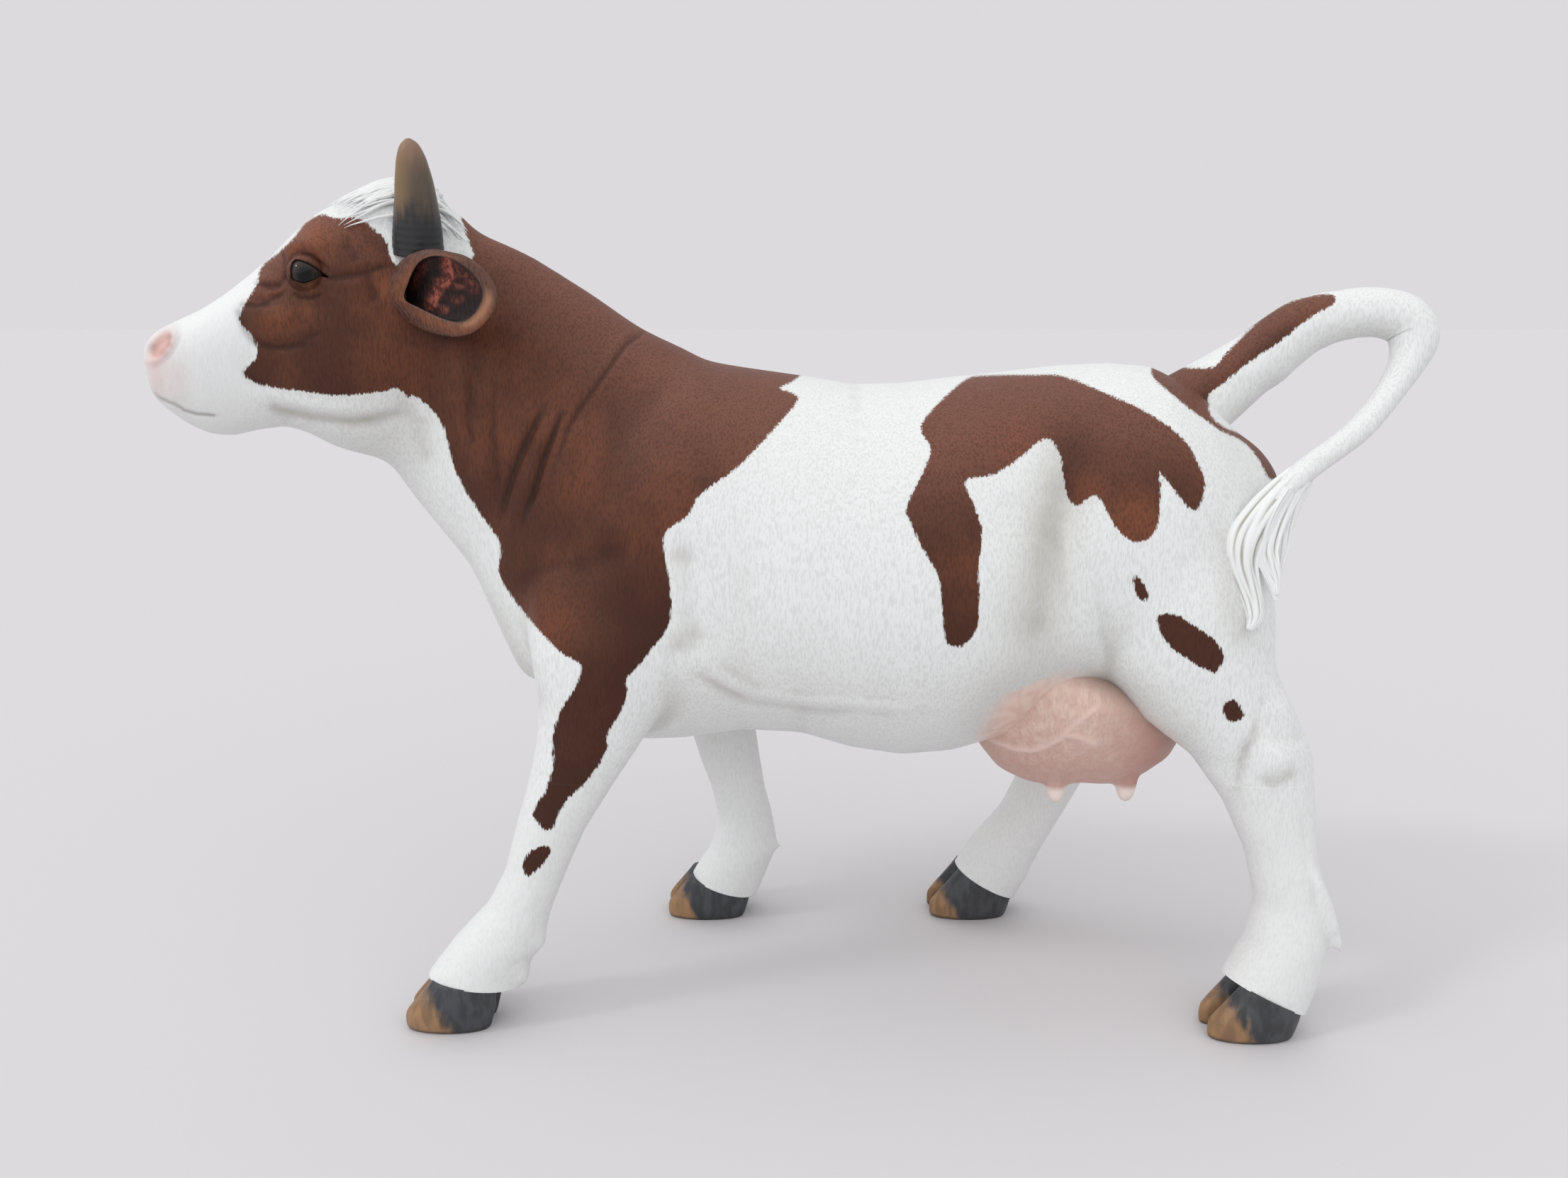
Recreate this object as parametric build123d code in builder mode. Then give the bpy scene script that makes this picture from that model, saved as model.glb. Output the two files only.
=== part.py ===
"""A standing cow figurine: hand-painted resin castings pinned and bonded over steel rods.

The cow faces -X and its left flank faces -Y. The floor is Z = 0. All sizes are millimetres.
"""

import os
from math import cos, radians, sin

from build123d import *

# Driving dimensions of the body
back_height = 150.0
trunk_length = 181.0
barrel_width = 80.0
shell_wall = 5.0
bond_gap = 0.1

# Heights in back heights: tops of the limbs, leg seats, neck seam, udder and tail
shoulder_height_share = 0.7467
hip_height_share = 0.8333
seat_height_share = 0.4133
withers_height_share = 1.0733
breast_height_share = 0.6
throat_height_share = 0.86
crest_height_share = 1.2333
head_centre_height_share = 1.0667
udder_bottom_share = 0.364
udder_height_share = 0.2267
spigot_bottom_share = 0.44
spigot_top_share = 0.6
tail_root_height_share = 0.9733
tail_rise_share = 0.1333
tail_drop_share = 0.36

# Places along the body in trunk lengths, from the middle of the cow
trunk_front_share = -0.3757
poll_share = -0.4696
withers_share = -0.1989
breast_share = -0.4144
throat_share = -0.5138
crest_share = -0.4144
front_left_root_share = -0.232
front_right_root_share = -0.1768
hind_root_share = 0.442
front_left_foot_share = -0.453
front_right_foot_share = -0.1381
hind_left_foot_share = 0.5884
hind_right_foot_share = 0.268
udder_share = 0.3646
udder_length_share = 0.2652
tail_root_share = 0.5083
tail_reach_share = 0.2669

# Widths in barrel widths: how far apart the legs stand, the udder and the tail's swing
shoulder_stance_share = 0.55
hip_stance_share = 0.575
hoof_stance_share = 0.75
udder_width_share = 0.7
tail_swing_share = 0.4325

# Legs and hooves
limb_girth = 16.0
hoof_length = 23.0
hoof_width = 17.5
coronet_height = 10.6
front_left_coronet_slope = 9.0
front_right_coronet_slope = 18.0
hind_left_coronet_slope = 23.0
hind_right_coronet_slope = 29.0
cleft_width = 1.5
cleft_height = 8.0
dewclaw_height = 22.0
dewclaw_length = 5.5
dewclaw_radius = 2.4
dewclaw_lean = 35.0
rod_radius = 1.25
rod_foot_height = 3.5
rod_bend_radius = 14.0

# Head and neck
head_turn = 14.0
head_length = 61.5
head_depth = 62.0
head_width = 30.0
neck_pin_radius = 3.0
neck_pin_length = 34.0

# Horns, ears and eyes, placed in the head: forward of the poll, apart, and above its middle
horn_length = 25.0
horn_radius = 5.65
horn_spread = 21.0
horn_lean = 12.0
horn_forward = 3.2
horn_rise = 18.5
ear_cup_length = 27.2
ear_cup_height = 16.4
ear_cup_forward = -2.1
ear_cup_spread = 50.5
ear_cup_rise = 9.5
ear_cup_turn = 48.9
ear_root_forward = 8.0
ear_root_spread = 19.0
ear_root_rise = 9.0
ear_tenon_radius = 1.6
ear_tenon_length = 8.0
ear_tenon_reach = 7.5
eye_radius = 3.6
eye_spread = 23.4
eye_forward = 27.0
eye_rise = 14.0
nostril_radius = 2.6
nostril_forward = 60.6
nostril_spread = 12.0
nostril_rise = -3.0
mouth_forward = 51.0
mouth_spread = 21.0
mouth_rise = -15.5
mouth_length = 16.0
mouth_depth = 3.0
mouth_height = 0.8

# Teats and spigot of the udder
teat_length = 9.0
teat_radius = 2.5
teat_row_length = 16.8
teat_row_width = 26.0
teat_row_shift = 4.2
teat_lift = 6.0
teat_taper_share = 0.6
spigot_radius = 9.0

# Tail
tail_radius = 6.0
tail_pin_radius = 1.5
tail_pin_length = 22.0

# Trunk stations: along its length, top and bottom of the back height, half width of the barrel width
trunk_shares = [
    (0.00, 0.747, 0.547, 0.10),
    (0.03, 0.840, 0.487, 0.22),
    (0.10, 0.940, 0.440, 0.33),
    (0.20, 1.030, 0.422, 0.41),
    (0.32, 1.013, 0.441, 0.455),
    (0.44, 0.993, 0.413, 0.490),
    (0.54, 0.993, 0.401, 0.500),
    (0.64, 1.007, 0.420, 0.490),
    (0.74, 1.020, 0.480, 0.455),
    (0.83, 1.020, 0.533, 0.425),
    (0.91, 0.973, 0.560, 0.370),
    (0.97, 0.900, 0.613, 0.270),
    (1.00, 0.833, 0.700, 0.110),
]
trunk_widest_share = 0.46

# Leg stations from the top down: height, bend along X, half length and half width, both in limb girths
front_left_shares = [
    (1.000, 0.00, 0.95, 0.25),
    (0.820, 0.33, 1.13, 0.60),
    (0.705, 0.55, 0.94, 0.60),
    (0.625, 0.56, 0.77, 0.55),
    (0.527, 0.49, 0.63, 0.50),
    (0.430, 0.39, 0.50, 0.47),
    (0.340, 0.40, 0.45, 0.44),
    (0.268, 0.33, 0.48, 0.45),
    (0.188, 0.19, 0.67, 0.54),
    (0.116, 0.03, 0.70, 0.56),
    (0.027, 0.03, 0.69, 0.56),
]
front_right_shares = [
    (1.000, 0.00, 0.95, 0.25),
    (0.820, 0.00, 1.13, 0.60),
    (0.705, 0.17, 0.80, 0.60),
    (0.625, 0.32, 0.66, 0.55),
    (0.527, 0.47, 0.57, 0.50),
    (0.430, 0.56, 0.52, 0.47),
    (0.340, 0.68, 0.46, 0.44),
    (0.268, 0.76, 0.47, 0.45),
    (0.188, 0.70, 0.58, 0.54),
    (0.116, 0.43, 0.64, 0.56),
    (0.027, 0.14, 0.66, 0.56),
]
hind_left_shares = [
    (1.000, 0.00, 1.10, 0.25),
    (0.832, -0.09, 1.50, 0.69),
    (0.704, -0.05, 1.25, 0.69),
    (0.608, 0.29, 1.12, 0.60),
    (0.536, 0.65, 0.88, 0.53),
    (0.448, 0.81, 0.66, 0.49),
    (0.352, 0.86, 0.51, 0.45),
    (0.256, 0.88, 0.51, 0.45),
    (0.176, 0.76, 0.61, 0.54),
    (0.104, 0.39, 0.69, 0.56),
    (0.024, 0.07, 0.69, 0.56),
]
hind_right_shares = [
    (1.000, 0.00, 1.10, 0.25),
    (0.832, 0.46, 1.50, 0.69),
    (0.704, 0.77, 1.25, 0.69),
    (0.608, 0.93, 1.03, 0.60),
    (0.536, 0.91, 0.84, 0.53),
    (0.448, 0.81, 0.69, 0.49),
    (0.352, 0.68, 0.58, 0.45),
    (0.256, 0.53, 0.56, 0.45),
    (0.176, 0.28, 0.62, 0.54),
    (0.104, 0.14, 0.66, 0.56),
    (0.024, 0.04, 0.66, 0.56),
]
dewclaw_inset_share = 0.12
dewclaw_spread_share = 0.24
dewclaw_shares = [(0.0, 1.0), (0.5, 0.9), (0.85, 0.6), (1.0, 0.3)]

# Hoof stations: height in coronet heights, shift along X, half length and half width
cleft_reach_share = 0.2
hoof_shares = [
    (0.0, -0.03, 0.46, 0.42),
    (0.12, -0.02, 0.485, 0.465),
    (0.5, 0.03, 0.51, 0.50),
    (1.1, 0.14, 0.45, 0.48),
    (1.8, 0.25, 0.38, 0.44),
]

# Head stations from the nose back: along its length, top and bottom in head depths, half width
head_shares = [
    (1.00, 0.02, -0.21, 0.20),
    (0.95, 0.05, -0.26, 0.30),
    (0.86, 0.09, -0.33, 0.36),
    (0.725, 0.18, -0.34, 0.35),
    (0.565, 0.29, -0.33, 0.40),
    (0.41, 0.45, -0.39, 0.49),
    (0.233, 0.52, -0.45, 0.49),
    (0.063, 0.54, -0.46, 0.44),
    (-0.085, 0.48, -0.38, 0.34),
]
head_widest_share = 0.52

# Neck stations: from the breast line (0) to the head (1), with half width in head widths
neck_shares = [(-0.30, 0.72), (0.00, 0.80), (0.35, 0.64), (0.70, 0.48), (1.00, 0.41), (1.22, 0.36)]

# Horn, ear, udder and tail stations
horn_shares = [
    (-0.15, 1.0), (0.0, 1.0), (0.2, 0.94), (0.41, 0.84), (0.65, 0.71), (0.83, 0.56), (0.93, 0.4), (0.99, 0.16)
]
ear_outer_shares = [
    (1.0, 0.42), (0.9, 0.52), (0.7, 0.68), (0.5, 0.86), (0.32, 1.0), (0.16, 1.06), (0.04, 1.04), (-0.055, 0.95)
]
ear_inner_shares = [(0.5, 0.3), (0.42, 0.53), (0.34, 0.65), (0.22, 0.75), (0.08, 0.82), (-0.1, 0.905)]
udder_shares = [
    (0.0, 0.08, 0.07),
    (0.05, 0.31, 0.23),
    (0.12, 0.40, 0.30),
    (0.22, 0.46, 0.37),
    (0.36, 0.50, 0.43),
    (0.52, 0.50, 0.47),
    (0.70, 0.46, 0.50),
    (0.88, 0.36, 0.50),
]
tail_path_shares = [
    (0.00, 0.00, 0.00),
    (0.26, 0.35, 0.015),
    (0.41, 0.65, 0.035),
    (0.59, 0.91, 0.07),
    (0.79, 1.00, 0.11),
    (0.94, 0.93, 0.15),
    (1.00, 0.65, 0.21),
    (0.92, 0.30, 0.29),
    (0.76, -0.05, 0.42),
    (0.57, -0.18, 0.56),
    (0.36, -0.29, 0.72),
    (0.20, -0.44, 0.88),
    (0.135, -0.57, 0.96),
    (0.135, -0.72, 1.00),
    (0.125, -0.89, 1.00),
]
tail_girth_shares = [1.30, 1.18, 1.12, 1.03, 0.95, 0.95, 0.87, 0.62, 0.50, 0.46, 0.48, 0.70, 0.90, 0.72, 0.16]

# Lengths that follow from the shares
trunk_front = trunk_front_share * trunk_length
seat_height = seat_height_share * back_height
shoulder_height = shoulder_height_share * back_height
hip_height = hip_height_share * back_height
shoulder_stance = shoulder_stance_share * barrel_width
hip_stance = hip_stance_share * barrel_width
hoof_stance = hoof_stance_share * barrel_width
withers_x = withers_share * trunk_length
withers_height = withers_height_share * back_height
breast_x = breast_share * trunk_length
breast_height = breast_height_share * back_height
throat_x = throat_share * trunk_length
throat_height = throat_height_share * back_height
crest_x = crest_share * trunk_length
crest_height = crest_height_share * back_height
poll_x = poll_share * trunk_length
head_centre_height = head_centre_height_share * back_height
udder_x = udder_share * trunk_length
udder_length = udder_length_share * trunk_length
udder_width = udder_width_share * barrel_width
udder_bottom = udder_bottom_share * back_height
udder_height = udder_height_share * back_height
spigot_bottom = spigot_bottom_share * back_height
spigot_top = spigot_top_share * back_height
tail_root_x = tail_root_share * trunk_length
tail_root_height = tail_root_height_share * back_height
tail_reach = tail_reach_share * trunk_length
tail_rise = tail_rise_share * back_height
tail_drop = tail_drop_share * back_height
tail_swing = tail_swing_share * barrel_width


def oval(plane, half_width, rise, drop):
    """A closed outline of two half ellipses that share their width."""
    with BuildSketch(plane) as section:
        with BuildLine():
            EllipticalCenterArc((0, 0), half_width, rise, start_angle=0, arc_size=180)
            EllipticalCenterArc((0, 0), half_width, drop, start_angle=180, arc_size=180)
        make_face()
    return section.sketch


def ellipse_at(plane, x_radius, y_radius):
    """A single ellipse on a plane."""
    with BuildSketch(plane) as section:
        Ellipse(x_radius, y_radius)
    return section.sketch


def trunk_sections(inset, stations):
    """Upright sections of the trunk, drawn in by the given amount."""
    sections = []
    for along, top, bottom, width in stations:
        roof = top * back_height - inset
        floor = bottom * back_height + inset
        half_width = width * barrel_width - inset
        middle = floor + trunk_widest_share * (roof - floor)
        station = Plane(origin=(trunk_front + along * trunk_length, 0, middle), x_dir=(0, 1, 0), z_dir=(1, 0, 0))
        sections.append(oval(station, half_width, roof - middle, middle - floor))
    return sections


def leg_centre(leg, share, bend):
    """A point on a leg's centre line at a share of its height."""
    foot_share = 1 - share
    x = leg["root_x"] + (leg["foot_x"] - leg["root_x"]) * foot_share + bend * limb_girth
    y = leg["side"] * (leg["stance"] + (hoof_stance - leg["stance"]) * foot_share) / 2
    return (x, y, share * leg["height"])


def leg_sections(leg):
    """Level sections of one leg, from inside the trunk down into its hoof."""
    return [
        ellipse_at(Plane(origin=leg_centre(leg, share, bend)), length * limb_girth, width * limb_girth)
        for share, bend, length, width in leg["shares"]
    ]


def coronet_plane(leg):
    """The sloping seat of a hoof, higher at the toe, with its normal upward."""
    lean = radians(leg["slope"])
    centre = (leg["foot_x"], leg["side"] * hoof_stance / 2, coronet_height)
    return Plane(origin=centre, x_dir=(cos(lean), 0, -sin(lean)), z_dir=(sin(lean), 0, cos(lean)))


def rod_path_points(leg):
    """The line of the steel rod: the middle of the leg at a few stations, and the hoof."""
    points = [leg_centre(leg, leg["shares"][i][0], leg["shares"][i][1]) for i in (1, 4, 6, 8)]
    foot = (leg["foot_x"], leg["side"] * hoof_stance / 2, rod_foot_height)
    return points + [foot]


def rod_solid(leg, gap):
    """The steel rod through one leg, grown by a gap where it is used as a cutter."""
    with BuildPart() as rod:
        with BuildLine() as route:
            FilletPolyline(*rod_path_points(leg), radius=rod_bend_radius)
        with BuildSketch(Plane(origin=route.line @ 0, z_dir=route.line % 0)):
            Circle(rod_radius + gap)
        sweep(path=route.line)
    return rod.part


def neck_plane(share):
    """A plane across the neck at a share of the way from the breast to the head, and half its depth."""
    top_x = withers_x + (crest_x - withers_x) * share
    top_z = withers_height + (crest_height - withers_height) * share
    low_x = breast_x + (throat_x - breast_x) * share
    low_z = breast_height + (throat_height - breast_height) * share
    depth = Vector(top_x - low_x, 0, top_z - low_z)
    up = depth.normalized()
    centre = ((top_x + low_x) / 2, 0, (top_z + low_z) / 2)
    return Plane(origin=centre, x_dir=(0, 1, 0), z_dir=(up.Z, 0, -up.X)), depth.length / 2


turn = radians(head_turn)
head_forward = Vector(-cos(turn), -sin(turn), 0)
head_left = Vector(sin(turn), -cos(turn), 0)
head_up = Vector(0, 0, 1)
head_origin = Vector(poll_x, 0, head_centre_height)


def head_point(forward, left, up):
    """A point measured in the turned head: forward of the poll, to its left, and above its middle."""
    return head_origin + head_forward * forward + head_left * left + head_up * up


def head_sections():
    """Upright sections across the turned head."""
    sections = []
    for along, top, bottom, width in head_shares:
        roof = top * head_depth
        floor = bottom * head_depth
        middle = floor + head_widest_share * (roof - floor)
        centre = head_point(along * head_length, 0, middle)
        station = Plane(origin=centre, x_dir=head_left, z_dir=head_forward)
        sections.append(oval(station, width * head_width, roof - middle, middle - floor))
    return sections


def horn_solid(side, gap):
    """One horn with its tenon, grown by a gap where it is used as a cutter."""
    lean = radians(horn_lean)
    axis = head_up * cos(lean) + head_left * (side * sin(lean))
    root = head_point(horn_forward, side * horn_spread / 2, horn_rise)
    sections = []
    for along, girth in horn_shares:
        station = Plane(origin=root + axis * (along * horn_length), x_dir=head_forward, z_dir=axis)
        sections.append(ellipse_at(station, girth * horn_radius + gap, girth * horn_radius + gap))
    with BuildPart() as horn:
        loft(sections=sections)
    return horn.part


def ear_ends(side):
    """The middle of an ear's open cup and of its root in the head."""
    cup = head_point(ear_cup_forward, side * ear_cup_spread / 2, ear_cup_rise)
    root = head_point(ear_root_forward, side * ear_root_spread / 2, ear_root_rise)
    return cup, root


def ear_sections(side, stations):
    """Sections of an ear or of the hollow of its cup, all square to the way the cup faces."""
    turned = radians(ear_cup_turn)
    facing = head_forward * cos(turned) + head_left * (side * sin(turned))
    cup, root = ear_ends(side)
    sections = []
    for way, girth in stations:
        station = Plane(origin=cup + (root - cup) * way, x_dir=facing.cross(head_up), z_dir=facing)
        sections.append(ellipse_at(station, girth * ear_cup_length / 2, girth * ear_cup_height / 2))
    return sections


def ear_root(side, gap):
    """The tenon of an ear, grown by a gap where it is used as a cutter."""
    cup, root = ear_ends(side)
    axis = (cup - root).normalized()
    with BuildPart(Plane(origin=root + axis * ear_tenon_reach, z_dir=axis)) as tenon:
        with Locations((0, 0, -ear_tenon_length / 2)):
            Cylinder(ear_tenon_radius + gap, ear_tenon_length + 2 * gap)
    return tenon.part


def eye_solid(side, gap):
    """One eye bead, grown by a gap where it is used as a cutter."""
    centre = head_point(eye_forward, side * eye_spread / 2, eye_rise)
    with BuildPart() as bead:
        with Locations(centre):
            Sphere(eye_radius + gap)
    return bead.part


def dewclaw_solid(leg, offset):
    """One of the two small claws at the back of a fetlock."""
    share = dewclaw_height / leg["height"]
    rows = leg["shares"]
    upper, lower = rows[8], rows[9]
    mix = (upper[0] - share) / (upper[0] - lower[0])
    bend = upper[1] + (lower[1] - upper[1]) * mix
    length = upper[2] + (lower[2] - upper[2]) * mix
    x, y, z = leg_centre(leg, share, bend)
    back = Vector(x + (length - dewclaw_inset_share) * limb_girth, y + offset * limb_girth, z)
    lean = radians(dewclaw_lean)
    axis = Vector(cos(lean), 0, -sin(lean))
    sections = []
    for along, girth in dewclaw_shares:
        station = Plane(origin=back + axis * (along * dewclaw_length), z_dir=axis)
        sections.append(ellipse_at(station, girth * dewclaw_radius, girth * dewclaw_radius))
    with BuildPart() as claw:
        loft(sections=sections)
    return claw.part


def neck_pin_solid(gap):
    """The dowel across the neck seam, grown by a gap where it is used as a cutter."""
    with BuildPart(seam) as pin:
        Cylinder(neck_pin_radius + gap, neck_pin_length + 2 * gap)
    return pin.part


def tail_route():
    """The middle line of the tail: up from the rump, round a loop and down the left haunch."""
    points = []
    for reach, rise, swing in tail_path_shares:
        height = tail_rise if rise > 0 else tail_drop
        x = tail_root_x + reach * tail_reach
        points.append((x, -swing * tail_swing, tail_root_height + rise * height))
    with BuildLine() as route:
        Spline(*points)
    return route.edge(), points


def tail_pin_solid(gap):
    """The pin from the rump into the tail, grown by a gap where it is used as a cutter."""
    line, points = tail_route()
    with BuildPart(Plane(origin=line @ 0, z_dir=line % 0)) as pin:
        with Locations((0, 0, tail_pin_length / 2)):
            Cylinder(tail_pin_radius + gap, tail_pin_length + 2 * gap)
    return pin.part


def spigot_solid(gap):
    """The udder's spigot up through the belly, grown by a gap where it is used as a cutter."""
    with BuildPart() as spigot:
        with Locations((udder_x, 0, (spigot_bottom + spigot_top) / 2)):
            Cylinder(spigot_radius + gap, spigot_top - spigot_bottom)
    return spigot.part


legs = [
    {"name": "front_left", "shares": front_left_shares, "side": -1, "height": shoulder_height, "stance": shoulder_stance,
     "root_x": front_left_root_share * trunk_length, "foot_x": front_left_foot_share * trunk_length,
     "slope": front_left_coronet_slope},
    {"name": "front_right", "shares": front_right_shares, "side": 1, "height": shoulder_height, "stance": shoulder_stance,
     "root_x": front_right_root_share * trunk_length, "foot_x": front_right_foot_share * trunk_length,
     "slope": front_right_coronet_slope},
    {"name": "hind_left", "shares": hind_left_shares, "side": -1, "height": hip_height, "stance": hip_stance,
     "root_x": hind_root_share * trunk_length, "foot_x": hind_left_foot_share * trunk_length,
     "slope": hind_left_coronet_slope},
    {"name": "hind_right", "shares": hind_right_shares, "side": 1, "height": hip_height, "stance": hip_stance,
     "root_x": hind_root_share * trunk_length, "foot_x": hind_right_foot_share * trunk_length,
     "slope": hind_right_coronet_slope},
]
sides = [("left", 1), ("right", -1)]
seam, seam_half_depth = neck_plane(0)
tail_across = Vector(0, 1, 0)
os.makedirs("parts", exist_ok=True)

# The whole body before it is parted: trunk, neck, head and the four limbs down to their seats
with BuildPart() as trunk:
    loft(sections=trunk_sections(0, trunk_shares))

limbs = []
for leg in legs:
    with BuildPart() as limb:
        loft(sections=leg_sections(leg))
    limbs.append(limb.part)

with BuildPart() as head:
    loft(sections=head_sections())

with BuildPart() as neck:
    neck_rows = []
    for share, width in neck_shares:
        station, half_depth = neck_plane(share)
        neck_rows.append(oval(station, width * head_width, half_depth, half_depth))
    loft(sections=neck_rows)

with BuildPart() as body:
    add(trunk.part)
    add(neck.part)
    for leg, limb in zip(legs, limbs):
        with BuildPart(mode=Mode.PRIVATE) as thigh:
            add(limb)
            split(bisect_by=Plane(origin=(0, 0, seat_height)), keep=Keep.TOP)
        add(thigh.part)

# Torso: a hollow shell with the four leg seats, the seam of the neck and the opening over the udder
with BuildPart() as torso:
    add(body.part)
    split(bisect_by=seam, keep=Keep.TOP)
    loft(sections=trunk_sections(shell_wall, trunk_shares[3:11]), mode=Mode.SUBTRACT)
    add(neck_pin_solid(bond_gap), mode=Mode.SUBTRACT)
    add(tail_pin_solid(bond_gap), mode=Mode.SUBTRACT)
    add(spigot_solid(bond_gap), mode=Mode.SUBTRACT)
    for leg in legs:
        add(rod_solid(leg, bond_gap), mode=Mode.SUBTRACT)
torso.part.label = "torso"
export_step(torso.part, "parts/torso.step")

# Head and neck: one casting, with sockets for horns, ears and eyes, nostrils and the mouth line
with BuildPart() as head_neck:
    add(body.part)
    split(bisect_by=seam, keep=Keep.BOTTOM)
    add(head.part)
    add(neck_pin_solid(bond_gap), mode=Mode.SUBTRACT)
    for side_name, side in sides:
        add(horn_solid(side, bond_gap), mode=Mode.SUBTRACT)
        add(ear_root(side, bond_gap), mode=Mode.SUBTRACT)
        add(eye_solid(side, bond_gap), mode=Mode.SUBTRACT)
        with Locations(head_point(nostril_forward, side * nostril_spread / 2, nostril_rise)):
            Sphere(nostril_radius, mode=Mode.SUBTRACT)
        with Locations(Plane(origin=head_point(mouth_forward, side * mouth_spread / 2, mouth_rise),
                             x_dir=head_forward, z_dir=head_up)):
            Box(mouth_length, mouth_depth, mouth_height, mode=Mode.SUBTRACT)
head_neck.part.label = "head_neck"
export_step(head_neck.part, "parts/head_neck.step")

# Horns, ears and eyes, a pair of each
for side_name, side in sides:
    horn = horn_solid(side, 0)
    horn.label = "horn_" + side_name
    export_step(horn, "parts/horn_" + side_name + ".step")
    with BuildPart() as ear:
        loft(sections=ear_sections(side, ear_outer_shares))
        loft(sections=ear_sections(side, ear_inner_shares), mode=Mode.SUBTRACT)
        add(head_neck.part, mode=Mode.SUBTRACT)
        add(horn_solid(side, bond_gap), mode=Mode.SUBTRACT)
        add(ear_root(side, 0))
    ear.part.label = "ear_" + side_name
    export_step(ear.part, "parts/ear_" + side_name + ".step")
    eye = eye_solid(side, 0)
    eye.label = "eye_" + side_name
    export_step(eye, "parts/eye_" + side_name + ".step")

# Lower legs, hooves and the steel rods through them
for leg, limb in zip(legs, limbs):
    rod = rod_solid(leg, 0)
    bore = rod_solid(leg, bond_gap)
    with BuildPart() as shank:
        add(limb)
        split(bisect_by=Plane(origin=(0, 0, seat_height)), keep=Keep.BOTTOM)
        for offset in (-dewclaw_spread_share, dewclaw_spread_share):
            add(dewclaw_solid(leg, offset))
        split(bisect_by=coronet_plane(leg), keep=Keep.TOP)
        add(torso.part, mode=Mode.SUBTRACT)
        add(bore, mode=Mode.SUBTRACT)
    shank.part.label = leg["name"] + "_leg"
    export_step(shank.part, "parts/" + leg["name"] + "_leg.step")
    rod.label = leg["name"] + "_rod"
    export_step(rod, "parts/" + leg["name"] + "_rod.step")
    with BuildPart() as hoof:
        rows = []
        for height, shift, length, width in hoof_shares:
            centre = (leg["foot_x"] + shift * hoof_length, leg["side"] * hoof_stance / 2, height * coronet_height)
            rows.append(ellipse_at(Plane(origin=centre), length * hoof_length, width * hoof_width))
        loft(sections=rows)
        split(bisect_by=coronet_plane(leg), keep=Keep.BOTTOM)
        with Locations((leg["foot_x"] - cleft_reach_share * hoof_length, leg["side"] * hoof_stance / 2, 0)):
            Box(hoof_length, cleft_width, cleft_height, align=(Align.CENTER, Align.CENTER, Align.MIN),
                mode=Mode.SUBTRACT)
        add(bore, mode=Mode.SUBTRACT)
    hoof.part.label = leg["name"] + "_hoof"
    export_step(hoof.part, "parts/" + leg["name"] + "_hoof.step")

# Udder with four teats, plugging the opening in the belly
with BuildPart() as udder:
    rows = []
    for height, length, width in udder_shares:
        level = Plane(origin=(udder_x, 0, udder_bottom + height * udder_height))
        rows.append(ellipse_at(level, length * udder_length, width * udder_width))
    loft(sections=rows)
    for along in (-1, 1):
        for across in (-1, 1):
            teat_x = udder_x + teat_row_shift + along * teat_row_length / 2
            foot = (teat_x, across * teat_row_width / 2, udder_bottom + teat_lift)
            with Locations(foot):
                Cone(teat_radius * teat_taper_share, teat_radius, teat_length,
                     align=(Align.CENTER, Align.CENTER, Align.MAX))
    add(body.part, mode=Mode.SUBTRACT)
    for limb in limbs[2:]:
        add(limb, mode=Mode.SUBTRACT)
    add(spigot_solid(0))
udder.part.label = "udder"
export_step(udder.part, "parts/udder.step")

# Tail: one casting from the rump to the switch, bonded along the left haunch
tail_line, tail_points = tail_route()
tail_rows = []
for point, girth in zip(tail_points, tail_girth_shares):
    along = tail_line % tail_line.param_at_point(point)
    across = (tail_across - along * along.dot(tail_across)).normalized()
    station = Plane(origin=point, x_dir=across, z_dir=along)
    tail_rows.append(ellipse_at(station, girth * tail_radius, girth * tail_radius))
with BuildPart() as switch:
    loft(sections=tail_rows[6:])
    add(trunk.part, mode=Mode.SUBTRACT)
    add(limbs[2], mode=Mode.SUBTRACT)
with BuildPart() as tail:
    loft(sections=tail_rows[:2])
    add(trunk.part, mode=Mode.SUBTRACT)
    loft(sections=tail_rows[1:7])
    add(switch.part)
    add(tail_pin_solid(bond_gap), mode=Mode.SUBTRACT)
tail.part.label = "tail"
export_step(tail.part, "parts/tail.step")

# Steel pins at the tail and the neck
tail_pin = tail_pin_solid(0)
tail_pin.label = "tail_pin"
export_step(tail_pin, "parts/tail_pin.step")
neck_pin = neck_pin_solid(0)
neck_pin.label = "neck_pin"
export_step(neck_pin, "parts/neck_pin.step")
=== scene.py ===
import math
import random

import bmesh
import bpy
import numpy as np
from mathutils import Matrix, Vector
from mathutils.kdtree import KDTree


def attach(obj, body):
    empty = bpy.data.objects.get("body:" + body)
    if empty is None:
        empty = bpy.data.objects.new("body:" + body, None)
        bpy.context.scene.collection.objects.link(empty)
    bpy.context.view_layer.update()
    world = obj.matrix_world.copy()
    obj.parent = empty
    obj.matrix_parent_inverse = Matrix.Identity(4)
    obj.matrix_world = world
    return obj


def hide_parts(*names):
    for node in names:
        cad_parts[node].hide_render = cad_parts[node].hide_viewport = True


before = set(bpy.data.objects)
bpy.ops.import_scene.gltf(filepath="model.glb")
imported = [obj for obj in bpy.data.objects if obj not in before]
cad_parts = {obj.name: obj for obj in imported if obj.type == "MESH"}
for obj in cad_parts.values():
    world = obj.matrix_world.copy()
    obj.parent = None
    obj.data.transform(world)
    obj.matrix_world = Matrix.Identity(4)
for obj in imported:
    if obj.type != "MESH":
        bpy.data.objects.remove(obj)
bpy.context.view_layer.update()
mm = 0.001

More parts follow.
